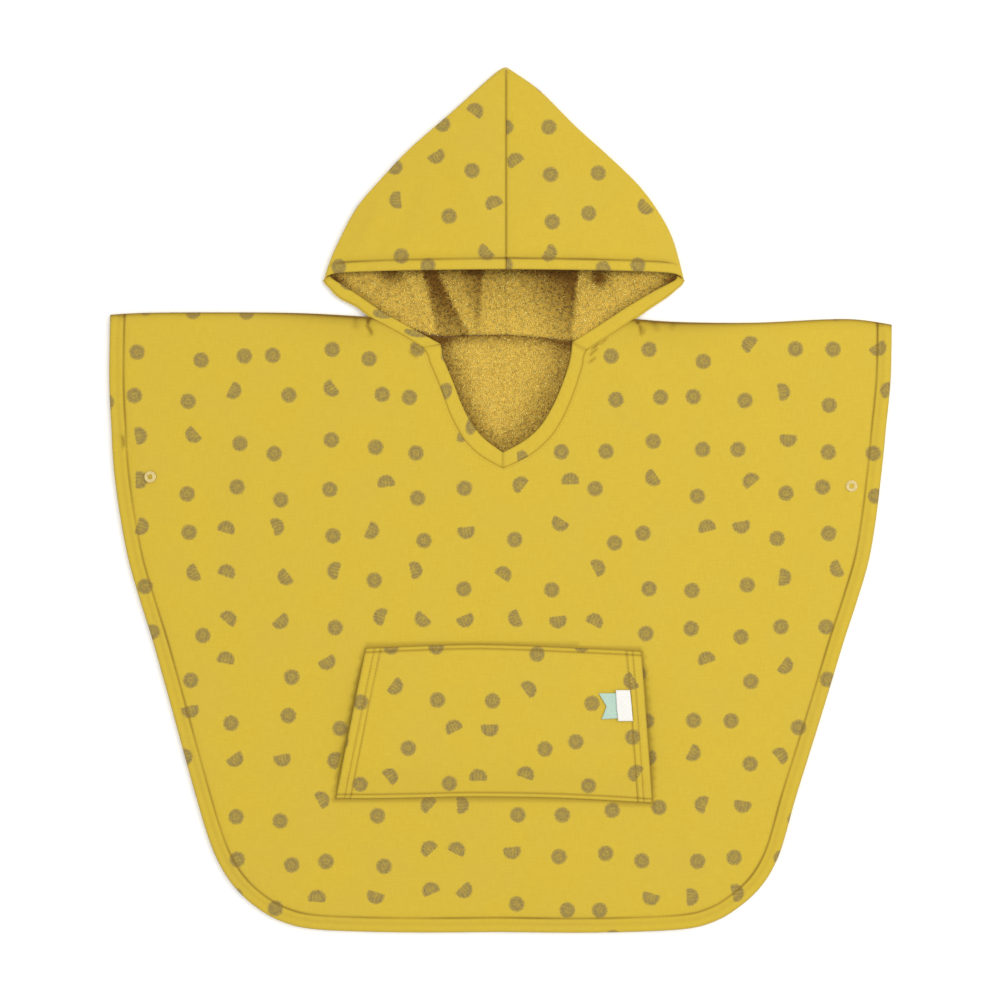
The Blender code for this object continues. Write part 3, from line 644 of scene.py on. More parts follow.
def print_mask(nodes, place, spacing, radius):
    """Scattered dots of ink: whole ones with wavy rings, and ones cut off straight with
    bars. They sit on a shaken lattice and turn at random."""
    cells = add_node(nodes, "TexVoronoi", place, None, 1.0 / spacing, voronoi_dimensions="2D", output=2).node
    cells.inputs["Randomness"].default_value = 0.52
    centre = cells.outputs["Position"]
    local = add_node(nodes, "VectorMath", place, centre, operation="SUBTRACT")
    random = add_node(nodes, "SeparateColor", cells.outputs["Color"]).node.outputs
    turn = add_node(nodes, "VectorRotate", local, None, None, maths(nodes, "MULTIPLY", random[0], 2 * pi))
    parts = add_node(nodes, "SeparateXYZ", turn).node.outputs
    wobble = maths(nodes, "MULTIPLY_ADD", noise(nodes, place, 2.0, 3.0, 0.7), 3.6, -1.8)
    reach = maths(nodes, "ADD", add_node(nodes, "VectorMath", local, operation="LENGTH", output=1), wobble)
    half = maths(nodes, "GREATER_THAN", random[1], 0.6)
    reach = maths(nodes, "MULTIPLY_ADD", half, -0.9, reach)
    disc = maths(nodes, "MULTIPLY", maths(nodes, "SUBTRACT", radius, reach), 0.55, clamp=True)
    side = maths(nodes, "ADD", maths(nodes, "ADD", parts[1], 3.3), wobble, clamp=True)
    cut = maths(nodes, "MAXIMUM", side, maths(nodes, "SUBTRACT", 1.0, half))
    shake = noise(nodes, place, 2.4, 2.0)
    ripple = maths(nodes, "MULTIPLY_ADD", shake, 12.0, maths(nodes, "MULTIPLY", reach, 2.2))
    bars = maths(nodes, "MULTIPLY_ADD", shake, 11.0, maths(nodes, "MULTIPLY", parts[0], 2.2))
    phase = add_node(nodes, "Mix", half, None, ripple, bars)
    fuller = maths(nodes, "MULTIPLY_ADD", reach, 0.035, 0.64)
    marks = maths(nodes, "MULTIPLY_ADD", maths(nodes, "SINE", phase), 0.13, fuller)
    grain = maths(nodes, "MULTIPLY_ADD", noise(nodes, place, 1.3, 2.0), 1.0, -0.5)
    ink = maths(nodes, "ADD", marks, grain, clamp=True)
    return maths(nodes, "MULTIPLY", maths(nodes, "MULTIPLY", disc, cut), ink)


def printed_cotton(sizes, colours):
    """Plain-woven mustard cotton, dyed in the piece and printed: matt, with a faint linen
    grain of uneven threads, and thin olive ink that lets the weave through."""
    shade, nodes, shader = new_material(
        "woven_cotton_mustard", 0.82, Sheen_Weight=0.1, Sheen_Roughness=0.5, Specular_IOR_Level=0.25
    )
    place = millimetres(nodes, True)
    weft = noise(nodes, stretched(nodes, place, (0.1, 1.0, 1.0)), 1.0)
    warp = noise(nodes, stretched(nodes, place, (1.0, 0.1, 1.0)), 1.0)
    slubs = maths(nodes, "ADD", weft, warp)
    # Real threads are about 0.4 mm apart, too fine to show, so the weave is drawn at 1.3 mm.
    turns = 2 * pi / (sizes.weave_pitch / MM)
    parts = add_node(nodes, "SeparateXYZ", stretched(nodes, place, (turns,) * 3)).node
    weave = maths(
        nodes, "MULTIPLY", maths(nodes, "SINE", parts.outputs[0]), maths(nodes, "SINE", parts.outputs[1])
    )
    # The slubs and the weave set the cloth between its dark and light colours: partly the uneven threads' own
    # tone, partly painted light on raised threads and painted shade between them, since the bump follows them
    # too.
    tone = maths(nodes, "MULTIPLY_ADD", slubs, 0.34, 0.2)
    tone = maths(nodes, "MULTIPLY_ADD", weave, 0.02, tone, clamp=True)
    blotch = maths(nodes, "MULTIPLY_ADD", noise(nodes, place, 48.0, 3.0), 2.2, -0.6, clamp=True)
    warm = blend(nodes, blotch, colours.cotton, colours.cotton_warm)
    cloth = blend(nodes, tone, colours.cotton_dark, warm)
    ink = print_mask(nodes, place, sizes.print_spacing / MM, sizes.print_radius / MM)
    cloth = blend(nodes, ink, cloth, colours.print_ink)
    # Painted shade from the mesh's shade attribute darkens the cloth toward its shadow colour.
    deep = maths(nodes, "MULTIPLY", shade_of(nodes), 0.85, clamp=True)
    height = maths(nodes, "MULTIPLY_ADD", slubs, 1.2, weave)
    return plug(shade, shader, blend(nodes, deep, cloth, colours.cotton_shadow), height, 0.22, 0.35)


def terry(name, grain, light, middle, dark, distance):
    """Cotton terry, uncut loops: no gloss at all, bright loop tops over deep ochre gaps: the yarn's
    own colour, with painted light on the tops and painted shade in the gaps, both following the
    noise that raises the bump. Real loops are finer, and are drawn as coarse as they need to show."""
    shade, nodes, shader = new_material(
        name, 0.95, Sheen_Weight=0.05, Sheen_Roughness=0.6, Specular_IOR_Level=0.1
    )
    place = millimetres(nodes, False)
    loops = noise(nodes, place, grain, 2.0, 0.6)
    spread = maths(nodes, "MULTIPLY_ADD", loops, 3.0, -1.0, clamp=True)
    lit = blend(nodes, spread, middle, light)
    # Painted shade from the mesh's shade attribute darkens the terry toward its dark colour.
    deep = maths(nodes, "MULTIPLY", shade_of(nodes), 1.0, clamp=True)
    return plug(shade, shader, blend(nodes, deep, lit, dark), loops, distance, 0.7)


def tinted(name, roughness, light, dark, grain, cut=False, ribs=0.0, **sockets):
    """A fine material that clouds softly between two colours, ribbed if it is a ribbon.
    Real ribs and twists are finer, and are drawn as coarse as they need to show."""
    shade, nodes, shader = new_material(name, roughness, **sockets)
    place = millimetres(nodes, cut)
    cloud = noise(nodes, place, grain)
    if ribs:
        across = add_node(nodes, "SeparateXYZ", place, output=1)
        # The ribs darken the colour between them with painted shade, as well as raising the bump.
        ribbing = maths(nodes, "SINE", maths(nodes, "MULTIPLY", across, ribs))
        cloud = maths(nodes, "MULTIPLY_ADD", ribbing, 0.2, cloud)
    return plug(shade, shader, blend(nodes, cloud, dark, light), cloud, 0.15, 0.25)


# --------------------------------------------------------------------- user's properties
def length(name, description, default):
    return bpy.props.FloatProperty(
        name=name, description=description, default=default * MM, min=0.0, subtype="DISTANCE", unit="LENGTH"
    )


def colour(name, description, hex_colour):
    return bpy.props.FloatVectorProperty(
        name=name, description=description, default=linear(hex_colour), min=0.0, max=1.0, subtype="COLOR"
    )


class PonchoSizes(bpy.types.PropertyGroup):
    hem_width: length("Hem", "Width of the turned hem of the sides and bottom", 12.2)
    brow_hem: length("Hood hem", "Width of the hem at the hood's forehead edge", 9.5)
    pocket_seam: length("Pocket seam", "Distance of the pocket's stitches from its sewn edges", 3.4)
    pocket_hem: length("Pocket hem", "Width of the hems at the pocket's open sides", 12.2)
    cloth_grid: length("Cloth spacing", "Distance between the points of the laid cloth", 4.2)
    stitch: length("Stitch", "Length of one stitch with its space", 2.9)
    thread: length("Thread", "Thickness of the sewing thread", 0.7)
    loop_pitch: length("Loop spacing", "Distance between the terry's loops, drawn a little coarse", 2.05)
    loop_height: length("Loop height", "How far a loop stands up", 1.2)
    weave_pitch: length("Weave", "Distance between the drawn threads of the cotton", 1.3)
    print_spacing: length("Print spacing", "Mean distance between printed dots", 39.0)
    print_radius: length("Print radius", "Radius of a whole printed dot", 7.3)


class PonchoColours(bpy.types.PropertyGroup):
    # The cotton's light and dark colours: partly its threads' own uneven tone, partly painted light on raised
    # threads and painted shade between them.
    cotton: colour("Cotton", "Printed cotton where a thread catches the light", 0xD7BB35)
    cotton_warm: colour("Cotton, warm", "Printed cotton where its dye is fuller", 0xD3B83F)
    cotton_dark: colour("Cotton, dark", "Printed cotton between its threads", 0xB8992B)
    cotton_shadow: colour("Cotton, shadow", "Printed cotton deep in its seams", 0x775912)
    print_ink: colour("Print", "Olive ink of the dots", 0x837042)
    # Painted light and shade with the yarn's own tone: the terry's light, middle and ground colours follow
    # the noise that raises its bump, lighter on the tops and darker in the gaps.
    terry_light: colour("Terry, light", "Tops of the terry's loops", 0xF4E07C)
    terry_mid: colour("Terry, middle", "Sides of the terry's loops", 0xDDBC50)
    terry_ground: colour("Terry ground", "Ground cloth of the terry", 0xBE9839)
    terry_dark: colour("Terry, dark", "Loops in the shade of a fold", 0x6E4B16)
    thread: colour("Thread", "Sewing thread", 0xB5952C)
    thread_dark: colour("Thread, dark", "Sewing thread between its twists", 0x866A1A)
    snap: colour("Snap", "Resin of the press-studs", 0xDFCB8C)
    snap_dark: colour("Snap, dark", "Press-stud where it is clouded", 0xB2984C)
    # The tag's and the ribbon's dark colours: their own clouding, with painted shade between their ribs.
    tag: colour("Tag", "White satin tag", 0xEFEDE6)
    tag_dark: colour("Tag, dark", "Tag between its ribs", 0xD2CFC6)
    ribbon: colour("Ribbon", "Mint ribbon", 0xB9D0BE)
    ribbon_dark: colour("Ribbon, dark", "Ribbon between its ribs", 0x96B4A2)
    floor: colour("Floor", "Pale floor", 0xFBFBFA)


def body_paths():
    """The outlines that the body's pieces share, in millimetres."""
    if LINES:
        return LINES
    front = node_outline("front_panel")
    back = node_outline("back_panel")
    LINES["sides"] = curve(stretch(front, SHOULDER_LEFT, SHOULDER_RIGHT), 3.0)
    right = curve(stretch(front, SHOULDER_RIGHT, NECK_RIGHT), 3.0)
    left = curve(stretch(front, NECK_LEFT, SHOULDER_LEFT), 3.0)
    turns = (NECK_RIGHT, BAND_TURN_RIGHT, NECK_POINT, BAND_TURN_LEFT, NECK_LEFT)
    neck = [curve(stretch(front, a, b), 2.0)[:-1] for a, b in zip(turns, turns[1:])]
    LINES["front_neck"] = np.vstack((*neck, left[:1]))
    LINES["back_neck"] = curve(stretch(back, NECK_RIGHT, NECK_LEFT), 3.0)
    LINES["outer"] = np.vstack((left[:-1], LINES["sides"][:-1], right))
    LINES["shoulders"] = (right, left)
    LINES["front"] = np.vstack((LINES["outer"][:-1], LINES["front_neck"][:-1]))
    LINES["back"] = np.vstack((LINES["outer"][:-1], LINES["back_neck"][:-1]))
    LINES["lining"] = even(closed(node_outline("back_lining")), 4.0)[:-1]
    LINES["pocket"] = node_outline("pocket")
    return LINES


def beside(path, depths, reach=2.4):
    return [(offset(path, depth), reach) for depth in depths]


def edge_shade(rim, to_shoulder, along_x):
    """Painted shade on the rim where the cloth turns under, most of all along the shoulders."""
    inward = soft_step((230.0 - np.abs(along_x)) / 110.0)
    rolled_shade = (0.5 + 0.2 * inward) * bell(to_shoulder, 2.0) + (0.2 + 0.34 * inward) * bell(to_shoulder, 5.0)
    return 0.3 * bell(rim, 1.1) + rolled_shade + 0.14 * inward * bell(to_shoulder, 20.0)


# ------------------------------------------------------------------------------ operators
class PONCHO_OT_back(bpy.types.Operator):
    """Makes the printed back with its turned hem, flat on its underside"""

    bl_idname = "poncho.back"
    bl_label = "Back"

    def execute(self, context):
        hem = context.scene.poncho_sizes.hem_width / MM
        lines = body_paths()
        depths = (0.35, 0.9, 1.6, hem - 2.2, hem - 0.9, hem, hem + 0.9, hem + 2.2)
        points, faces = plane_mesh(lines["back"], beside(lines["outer"], depths), 6.5, 2.0)
        rim = away(points, lines["outer"])[0]
        depth, run = away(points, lines["sides"])
        groove = bell(depth - hem, 0.9)
        base = 0.4 * groove + 0.5 * creased(points, BACK_CREASES) * soft_step((rim - 14.0) / 20.0)
        base += 0.14 * (1 + uneven_wave(run, 18.0, 23.0)) * soft_step((rim - 1.0) / 2.0) * (depth < hem)
        full = CLOTH + (LINING_TOP - CLOTH) * (1 - soft_step(rim - hem - 0.2))
        share = rounded(rim)
        top = full / 2 * (1 + share)
        base = np.maximum(base, full / 2 * (1 - share))
        to_shoulder = away(points, np.vstack(lines["shoulders"]))[0] + 0.6
        # Painted shade on the turned rim, along the shoulders and in the hem's groove.
        shade = np.maximum(edge_shade(rim, to_shoulder, points[:, 0]), 0.4 * groove)
        maker = cloth_wall(points, faces, base, top, shade, (900.0, 300.0))
        size = np.ptp(lines["back"], axis=0)
        lay(maker, "back_cloth", "back_panel", size)
        return {"FINISHED"}


class PONCHO_OT_back_terry(bpy.types.Operator):
    """Makes the terry inside of the back, which shows through the neck"""

    bl_idname = "poncho.back_terry"
    bl_label = "Terry of the back"

    def execute(self, context):
        loop = body_paths()["lining"]
        points, faces = plane_mesh(loop, beside(closed(loop), (0.5, 1.3), 2.0), 6.0, 2.0)
        share = rounded(away(points, closed(loop))[0], 1.4)
        middle = CLOTH + GAP + TERRY / 2
        neck = bell(points[:, 1] - 96.0, 46.0) * bell(points[:, 0] - 3.0, 60.0)
        ripple = np.sin(points[:, 0] / 9.0 + points[:, 1] / 21.0) - 1
        top = middle + TERRY / 2 * share + 0.25 * neck * ripple
        maker = cloth_wall(points, faces, middle - TERRY / 2 * share, top, terry_shade(points))
        size = np.ptp(loop, axis=0)
        lay(maker, "back_terry", "back_lining", size, "terry")
        return {"FINISHED"}


class PONCHO_OT_front(bpy.types.Operator):
    """Makes the printed front with its hem, its creases and the puckers round its neck"""

    bl_idname = "poncho.front"
    bl_label = "Front"

    def execute(self, context):
        sizes = context.scene.poncho_sizes
        hem = sizes.hem_width / MM
        lines = body_paths()
        depths = (0.3, 0.8, 1.5, 4.0, 7.5, hem - 2.0, hem - 1.0, hem - 0.4, hem + 0.2, hem + 0.9, hem + 2.0)
        chains = beside(lines["sides"], depths)
        for path in lines["shoulders"]:
            chains += beside(path, (0.3, 0.8, 1.5, 3.0, 5.0))
        chains += beside(lines["front_neck"], (0.3, 0.8, 1.5, 2.8, 4.4, 6.0, 8.0, 10.0, 12.0), 1.9)
        for x1, y1, x2, y2, *_ in FRONT_NIPS:
            chains += beside(even(((x1, y1), (x2, y2)), 2.0), (-1.3, 0.0, 1.3), 1.6)
        pocket = closed(lines["pocket"])
        chains += beside(even(pocket, 3.0), (-1.0, 1.0), 2.0)
        points, faces = plane_mesh(lines["front"], chains, sizes.cloth_grid / MM, 2.0)
        rim = away(points, closed(lines["front"]))[0]
        depth, run = away(points, lines["sides"])
        to_neck = away(points, lines["front_neck"])[0]
        to_shoulder = away(points, np.vstack(lines["shoulders"]))[0]
        to_pocket, round_pocket = away(points, pocket)
        base = settle(faces, underside(points, rim, "front_panel"), 14)
        free = soft_step((to_neck - 2.0) / 9.0) * soft_step((np.minimum(depth, to_shoulder) - 3.0) / 9.0)
        groove = bell(depth - hem, 0.8)
        nips = creased(points, FRONT_NIPS) * soft_step(to_neck / 1.2)
        relief = 0.8 * (1 - soft_step((depth - hem + 0.6) / 1.6)) - 0.85 * groove
        relief -= 0.3 * bell(depth - hem, 2.8)
        relief += 0.3 * uneven_wave(run, 14.0, 23.0) * soft_step((hem - depth) / 6.0) * soft_step(depth / 5.0)
        relief += 0.2 * uneven_wave(run, 11.0, 31.0) * bell(depth - hem - 3.0, 4.0)
        relief += creased(points, FRONT_CREASES) * free + nips - 0.5 * bell(to_shoulder, 3.5)
        relief += 0.14 * uneven_wave(round_pocket, 9.0, 17.0) * bell(to_pocket, 7.0)
        relief += 0.25 * np.sin(points[:, 0] / 37.0 + 2.0 * np.sin(points[:, 1] / 53.0)) * free
        share = rounded(rim)
        top = base + PANEL / 2 * (1 + share) + relief * soft_step(rim / 1.6)
        # Painted shade: on the turned rim and the shoulders, in the hem's groove and along a line beside it,
        # in the nips, round the pocket's edges and beside the neck.
        shade = edge_shade(np.minimum(depth, to_shoulder), to_shoulder, points[:, 0])
        shade += uneven_groove_shade(run) * groove + 0.3 * bell(depth - hem + 3.8, 1.2) - 0.6 * np.minimum(nips, 0)
        shade += 0.75 * bell(to_pocket, 1.5) + 0.08 * bell(to_pocket, 5.0)
        shade += 0.12 * bell(to_neck, 1.2)
        maker = cloth_wall(points, faces, base + PANEL / 2 * (1 - share), top, shade)
        size = np.ptp(lines["front"], axis=0)
        lay(maker, "front_cloth", "front_panel", size)
        return {"FINISHED"}


def bulge(points, sign):
    """Pushes the cheek's edge out where the hood's corner is round."""
    push = (3.0 if sign < 0 else 0.9) * bell(points[..., 1] - 175.5, 8.5)
    return points + np.stack((sign * push, -push), axis=-1)


def band_edges(node):
    """A band's seam and its free edge, both from the same end."""
    sides = sorted(four_sides(node_outline(node)), key=lambda side: -measured(side)[2])
    first, second = sides[0], sides[1][::-1]
    seam = body_paths()["front_neck"]
    if np.median(away(first, seam)[0]) > np.median(away(second, seam)[0]):
        first, second = second, first
    return curve(first, BAND_STEP), measured(curve(second, 1.0))


class PONCHO_OT_bands(bpy.types.Operator):
    """Makes the strips that edge the neck and the hood's cheeks"""

    bl_idname = "poncho.bands"
    bl_label = "Bands"

    def execute(self, context):
        for index, node in enumerate(BANDS):
            first, second = band_edges(node)
            if node.startswith("hood"):
                first = bulge(first, -1 if node.endswith("left") else 1)
                if first[0][1] > first[-1][1]:
                    first, second = first[::-1], measured(second[0][::-1])
                outer_end, inner_end = BAND_CORNERS[node]
                first = curve(np.vstack((first[:-1:4], first[-1:], outer_end)), BAND_STEP)
                second = measured(curve(np.vstack((second[0][:-1:6], second[0][-1:], inner_end)), 1.0))
            rows = len(first)
            second = at_share(second, np.linspace(0.0, 1.0, rows))
            # The seam allowance, which passes under the neighbouring cloth, comes first.
            shares = np.concatenate(([-0.1], 0.5 - 0.5 * np.cos(np.linspace(0.0, pi, 13))))
            grid = first[:, None] + (second - first)[:, None] * shares[None, :, None]
            along = (grid[-1] - grid[-2]) / 2.0, (grid[0] - grid[1]) / 2.0
            grid[-1] += 0.25 * along[0]
            grid[0] += 0.25 * along[1]
            low, high = (corner[2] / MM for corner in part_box(node))
            run = np.arange(rows)[:, None] * BAND_STEP
            width = np.hypot(*(second - first).T)
            share = rounded(np.minimum(np.abs(shares), 1 - shares)[None, :] * width[:, None], 1.6, 0.25)
            share[:, 0] = 0.2
            swell = np.sin(pi * np.clip(shares, 0, 1))[None, :]
            wave = 0.32 * uneven_wave(run, 9.0, 13.0) + 0.2 * np.sin(run / 6.3 + 2.0)
            middle = (low + high - 0.4) / 2
            half = (high - low - 0.4) / 2
            top = np.dstack((grid, middle + half * share + (wave + 0.35) * swell))
            bottom = np.dstack((grid, middle - half * share))
            uv = np.stack(np.broadcast_arrays((12.0 * shares[None, :] + 60.0 * index), run), axis=-1) * MM
            # Painted shade along the band's seam, its free edge and both its ends.
            inward = shares[None, :] * width[:, None]
            ends = bell(np.minimum(run, run[::-1]), 1.6)
            shade = 0.16 * bell(inward, 1.2) + 0.3 * bell(width[:, None] - inward, 0.8) + 0.35 * ends
            LINES[node] = second
            size = (max(width), rows * BAND_STEP)
            lay(grid_wall(top, bottom, uv, shade), node + "_cloth", node, size)
        return {"FINISHED"}


# -------------------------------------------------------------------------------- the hood
def hood_lines(sign):
    """Side fold, foot, forehead edge and both middle seams of one half of the hood."""
    side = HOOD_SIDES[sign]
    foot = bulge(even(HOOD_FEET[sign], 3.0), sign)
    middle = HOOD_TIP[0]
    brow = (
        (middle, HOOD_BROW),
        (middle + sign * 60.0, HOOD_BROW - 0.4),
        (middle + sign * 110.0, HOOD_BROW - 1.0),
        (side[-1][0] - sign * 9.0, HOOD_BROW - 2.6),
        side[-1],
    )
    paths = {"side": curve(side, 2.0), "foot": foot, "brow": curve(brow, 2.0)}
    paths["low"] = (HOOD_TIP, foot[0])
    paths["high"] = (HOOD_TIP, brow[0])
    return {name: measured(path) for name, path in paths.items()}


def patch(lines, centre, end, u, t):
    """Points between the middle seam (u 0), the side fold (u 1), the tip and an end edge."""
    start, stop = lines[end][0][0], lines[end][0][-1]
    edge = at_share(lines[end], u)
    u = u[..., None]
    t = t[..., None]
    across = at_share(lines[centre], t[..., 0]) * (1 - u) + at_share(lines["side"], t[..., 0]) * u
    return across + (edge - start * (1 - u) - stop * u) * t


def hood_columns(lower, fold, upper):
    """Layer (-1, 0 in the side fold, 1) and share across it, or angle round the fold."""
    low = np.concatenate(([0.0, 0.3 / lower], np.arange(1, lower + 1) / lower))
    turn = -pi / 2 + pi * np.arange(1, fold) / fold
    high = np.concatenate((np.arange(upper, 0, -1) / upper, [0.6 / upper, 0.3 / upper, 0.12 / upper, 0.0]))
    layer = np.concatenate((np.full(len(low), -1), np.zeros(len(turn)), np.ones(len(high))))
    return layer, np.concatenate((low, turn, high))


def hood_shares(lines, columns, stop, count):
    """Shares from the tip to the mouth: even steps, then rows beside the mouth's edge."""
    layer, share = columns
    side = lines["side"][2]
    middle = np.where(layer < 0, lines["low"][2], lines["high"][2])
    lengths = np.where(layer == 0, side, middle * (1 - share) + side * share)
    mouth = 1 - (np.array(MOUTH_ROWS)[:, None] + stop) / lengths
    steps = np.concatenate(([0.0, 0.006, 0.015, 0.03], np.linspace(0.05, 1.0, count)))[:-1]
    depth = np.concatenate(((1 - steps) * 190.0 + MOUTH_ROWS[0], MOUTH_ROWS))
    return np.vstack((steps[:, None] * mouth[0], mouth)), depth[:, None]


def hood_grid(lines, sign, columns, t, depth, proud):
    """Points of the hood's cloth a depth inside its outer face, raised by proud."""
    layer, share = columns
    width = np.maximum(0.001, np.abs(at_share(lines["side"], t)[..., 0] - HOOD_TIP[0]))
    flat = np.maximum(0.0, 1 - HOOD_RADIUS / width)
    squash = np.sqrt(1 - (1 - np.minimum(1.0, t / 0.07)) ** 2)
    reach = HOOD_RADIUS - depth
    off_side = HOOD_RADIUS - reach * np.cos(share)
    u = np.where(layer == 0, np.maximum(0.0, 1 - off_side / width), share * flat)
    up = np.where(layer == 0, 0.5 + 0.5 * np.sin(share), layer > 0)[..., None]
    spot = patch(lines, "low", "foot", u, t) * (1 - up) + patch(lines, "high", "brow", u, t) * up
    crown = HOOD_CROWN * soft_step(t * 1.15) * (1 - share**2)
    turned = reach * np.sin(share) + proud * np.abs(np.sin(share))
    z = np.where(layer == 0, turned, layer * reach + proud + np.where(layer > 0, crown, 0.0))
    near = HOOD_TIP[0] + sign * GAP / 2
    x = np.maximum(spot[..., 0], near) if sign > 0 else np.minimum(spot[..., 0], near)
    y = spot[..., 1] - depth * np.maximum(0.0, 1 - t / 0.1) * 1.3
    return np.stack((x, y, HOOD_RADIUS + z * squash), axis=-1)


def flat_relief(grid, creases):
    return creased(grid[..., :2].reshape(-1, 2), creases).reshape(grid.shape[:2])


def below_neck(points):
    """How far points lie below the seam of the back neck."""
    neck = body_paths()["back_neck"][::-1]
    return np.interp(points[:, 0], neck[:, 0], neck[:, 1]) - points[:, 1]


def terry_shade(points):
    """Painted shade of the terry: how far it lies in shade in the hood's pleats, under its
    brow, beside the bands and under the seam of the back neck."""
    lines = body_paths()
    x, y = points.T
    below = below_neck(points)
    rise = np.clip((y - 142.0) / 50.0, 0.0, 1.0)
    middle = soft_step((x + 60.0) / 6.0) * soft_step((66.0 - x) / 4.0)
    hood = (0.2 + 0.2 * middle) * rise
    for brow_left, brow_right, neck_left, neck_right, dark_left, dark_right in SHADED_FOLDS:
        left = neck_left + (brow_left - neck_left) * rise
        right = neck_right + (brow_right - neck_right) * rise
        across = np.clip((x - left) / (right - left), 0.0, 1.0)
        inside = soft_step((x - left + 1.0) / 2.0) * soft_step((right + 1.5 - x) / 3.0)
        hood += (dark_left + (dark_right - dark_left) * across) * inside * (0.6 + 0.4 * rise)
    for centre_x, centre_y, reach, dark in SHADED_SPOTS:
        hood += dark * bell(np.hypot(x - centre_x, y - centre_y), reach)
    for node in BAND_CORNERS:
        hood += 0.4 * bell(away(points, lines[node])[0], 5.0) * soft_step((y - 135.0) / 30.0)
    hood += 0.3 * bell(y - 196.0, 5.0) + 0.3 * soft_step((y - 205.0) / 25.0) + 0.4 * bell(below, 1.8)
    free = away(points, lines["front_neck"])[0] - 11.0
    opening = np.where(x < 2.0, 0.7 * bell(free, 12.0), 0.6 * bell(free, 20.0))
    opening += 0.45 * bell(below, 8.0) + 0.4 * bell(below, 2.0)
    return np.where(below > 0, opening, hood)


class PONCHO_OT_hood(bpy.types.Operator):
    """Makes the hood's halves round their side folds, with the seam, the hem and the terry"""

    bl_idname = "poncho.hood"
    bl_label = "Hood"

    def execute(self, context):
        hem = context.scene.poncho_sizes.brow_hem / MM
        for name, sign in (("left", -1), ("right", 1)):
            lines = hood_lines(sign)
            self.cotton(name, sign, lines, hem)
            self.terry(name, sign, lines, hem)
        return {"FINISHED"}

    def cotton(self, name, sign, lines, hem):
        columns = hood_columns(30, 12, 38)
        layer, share = columns
        t, depth = hood_shares(lines, columns, 0.0, 44)
        flat = hood_grid(lines, sign, columns, t, 0.0, 0.0)
        to_seam = np.abs(flat[..., 0] - HOOD_TIP[0])
        upper = np.where(layer > 0, np.minimum(1.0, (1 - share) * 14.0), 0.0)
        groove = bell(depth - hem, 0.9)
        relief = 0.7 * (1 - soft_step((depth - hem + 0.4) / 1.5)) - 0.9 * groove
        relief -= 0.4 * bell(depth - hem, 3.2)
        band = soft_step((hem - depth) / 5.0) * soft_step(depth / 3.0)
        relief = relief + 0.45 * uneven_wave(flat[..., 0], 15.0, 23.0) * band
        relief += 0.25 * uneven_wave(flat[..., 0], 12.0, 19.0) * bell(depth - hem - 4.0, 4.0)
        relief += flat_relief(flat, HOOD_CREASES)
        relief += 0.3 * uneven_wave(flat[..., 1], 13.0, 19.0) * bell(to_seam - 3.0, 3.0)
        relief -= 1.0 * bell(to_seam, 1.3) + 0.4 * bell(to_seam, 4.0)
        relief *= upper
        turned = np.where(layer > 0, 1.0, np.where(layer == 0, soft_step(np.sin(share) * 0.8 + 0.7), 0.0))
        thick = CLOTH + (LINING_TOP - CLOTH - 0.2) * turned * (1 - soft_step((depth - hem) / 1.5))
        lip = thick * (1 - rounded(depth, 1.7, 0.3)) / 2 * np.where(layer < 0, 0.0, 1.0)
        outer = hood_grid(lines, sign, columns, t, lip, relief)
        inner = hood_grid(lines, sign, columns, t, thick - lip, relief)
        # Painted shade in the hem's groove, along the middle seam, beyond the hem and on the mouth's rim.
        shade = uneven_groove_shade(flat[..., 0]) * groove + 0.5 * bell(to_seam, 1.0)
        shade += 0.12 * bell(depth - hem - 2.0, 3.0)
        shade = upper * shade + 0.25 * bell(depth, 0.9) * (layer >= 0)
        maker = grid_wall(outer, inner, self.cut_of(outer, sign), shade)
        # The row in the hem's groove carries its stitches.
        sewn = len(depth) - len(MOUTH_ROWS) + MOUTH_ROWS.index(HEM_ROW)
        LINES["brow_" + name] = flat[sewn][layer > 0][:, :2]
        size = self.cut_size(outer, layer, HOOD_RADIUS)
        lay(maker, "hood_" + name + "_cloth", "hood_" + name, size)

    def terry(self, name, sign, lines, hem):
        columns = hood_columns(46, 8, 20)
        layer, share = columns
        stop = np.where(layer == 0, soft_step(np.sin(share) * 0.8 + 0.9), layer > 0) * (hem + 1.0)
        t, depth = hood_shares(lines, columns, stop, 46)
        edge = TERRY * (1 - rounded(depth, 1.6, 0.3)) / 2
        outer = hood_grid(lines, sign, columns, t, CLOTH + GAP + edge, 0.0)
        flat = hood_grid(lines, sign, columns, t, LINING_TOP, 0.0)
        spots = flat[..., :2].reshape(-1, 2)
        bands = away(spots, LINES["hood_band_" + name])[0]
        seam = away(spots, body_paths()["back_neck"])[0]
        fade = soft_step((bands - 3.0) / 10.0) * soft_step((seam - 2.0) / 9.0)
        fade *= soft_step((SEEN_TO - spots[:, 1]) / 16.0)
        lift = flat_relief(flat, PLEATS) * fade.reshape(flat.shape[:2]) * (layer < 0)
        inner = hood_grid(lines, sign, columns, t, LINING_TOP - edge, lift)
        shade = terry_shade(spots).reshape(flat.shape[:2])
        maker = grid_wall(inner, outer, self.cut_of(outer, sign), shade)
        GARMENT["terry_floor_" + name] = inner[:, layer < 0]
        size = self.cut_size(outer, layer, HOOD_RADIUS - CLOTH - GAP)
        lay(maker, "hood_terry_" + name, "hood_lining_" + name, size, "terry")

    def cut_of(self, grid, sign):
        """Cut coordinates in metres: round the fold from the upper middle, and down."""
        runs = np.cumsum(np.linalg.norm(np.diff(grid[..., ::2], axis=1), axis=2), axis=1)
        runs = np.concatenate((np.zeros((len(grid), 1)), runs), axis=1)
        across = sign * (runs[:, -1:] - runs) + 400.0 * sign
        return np.stack((across, grid[..., 1]), axis=-1) * MM

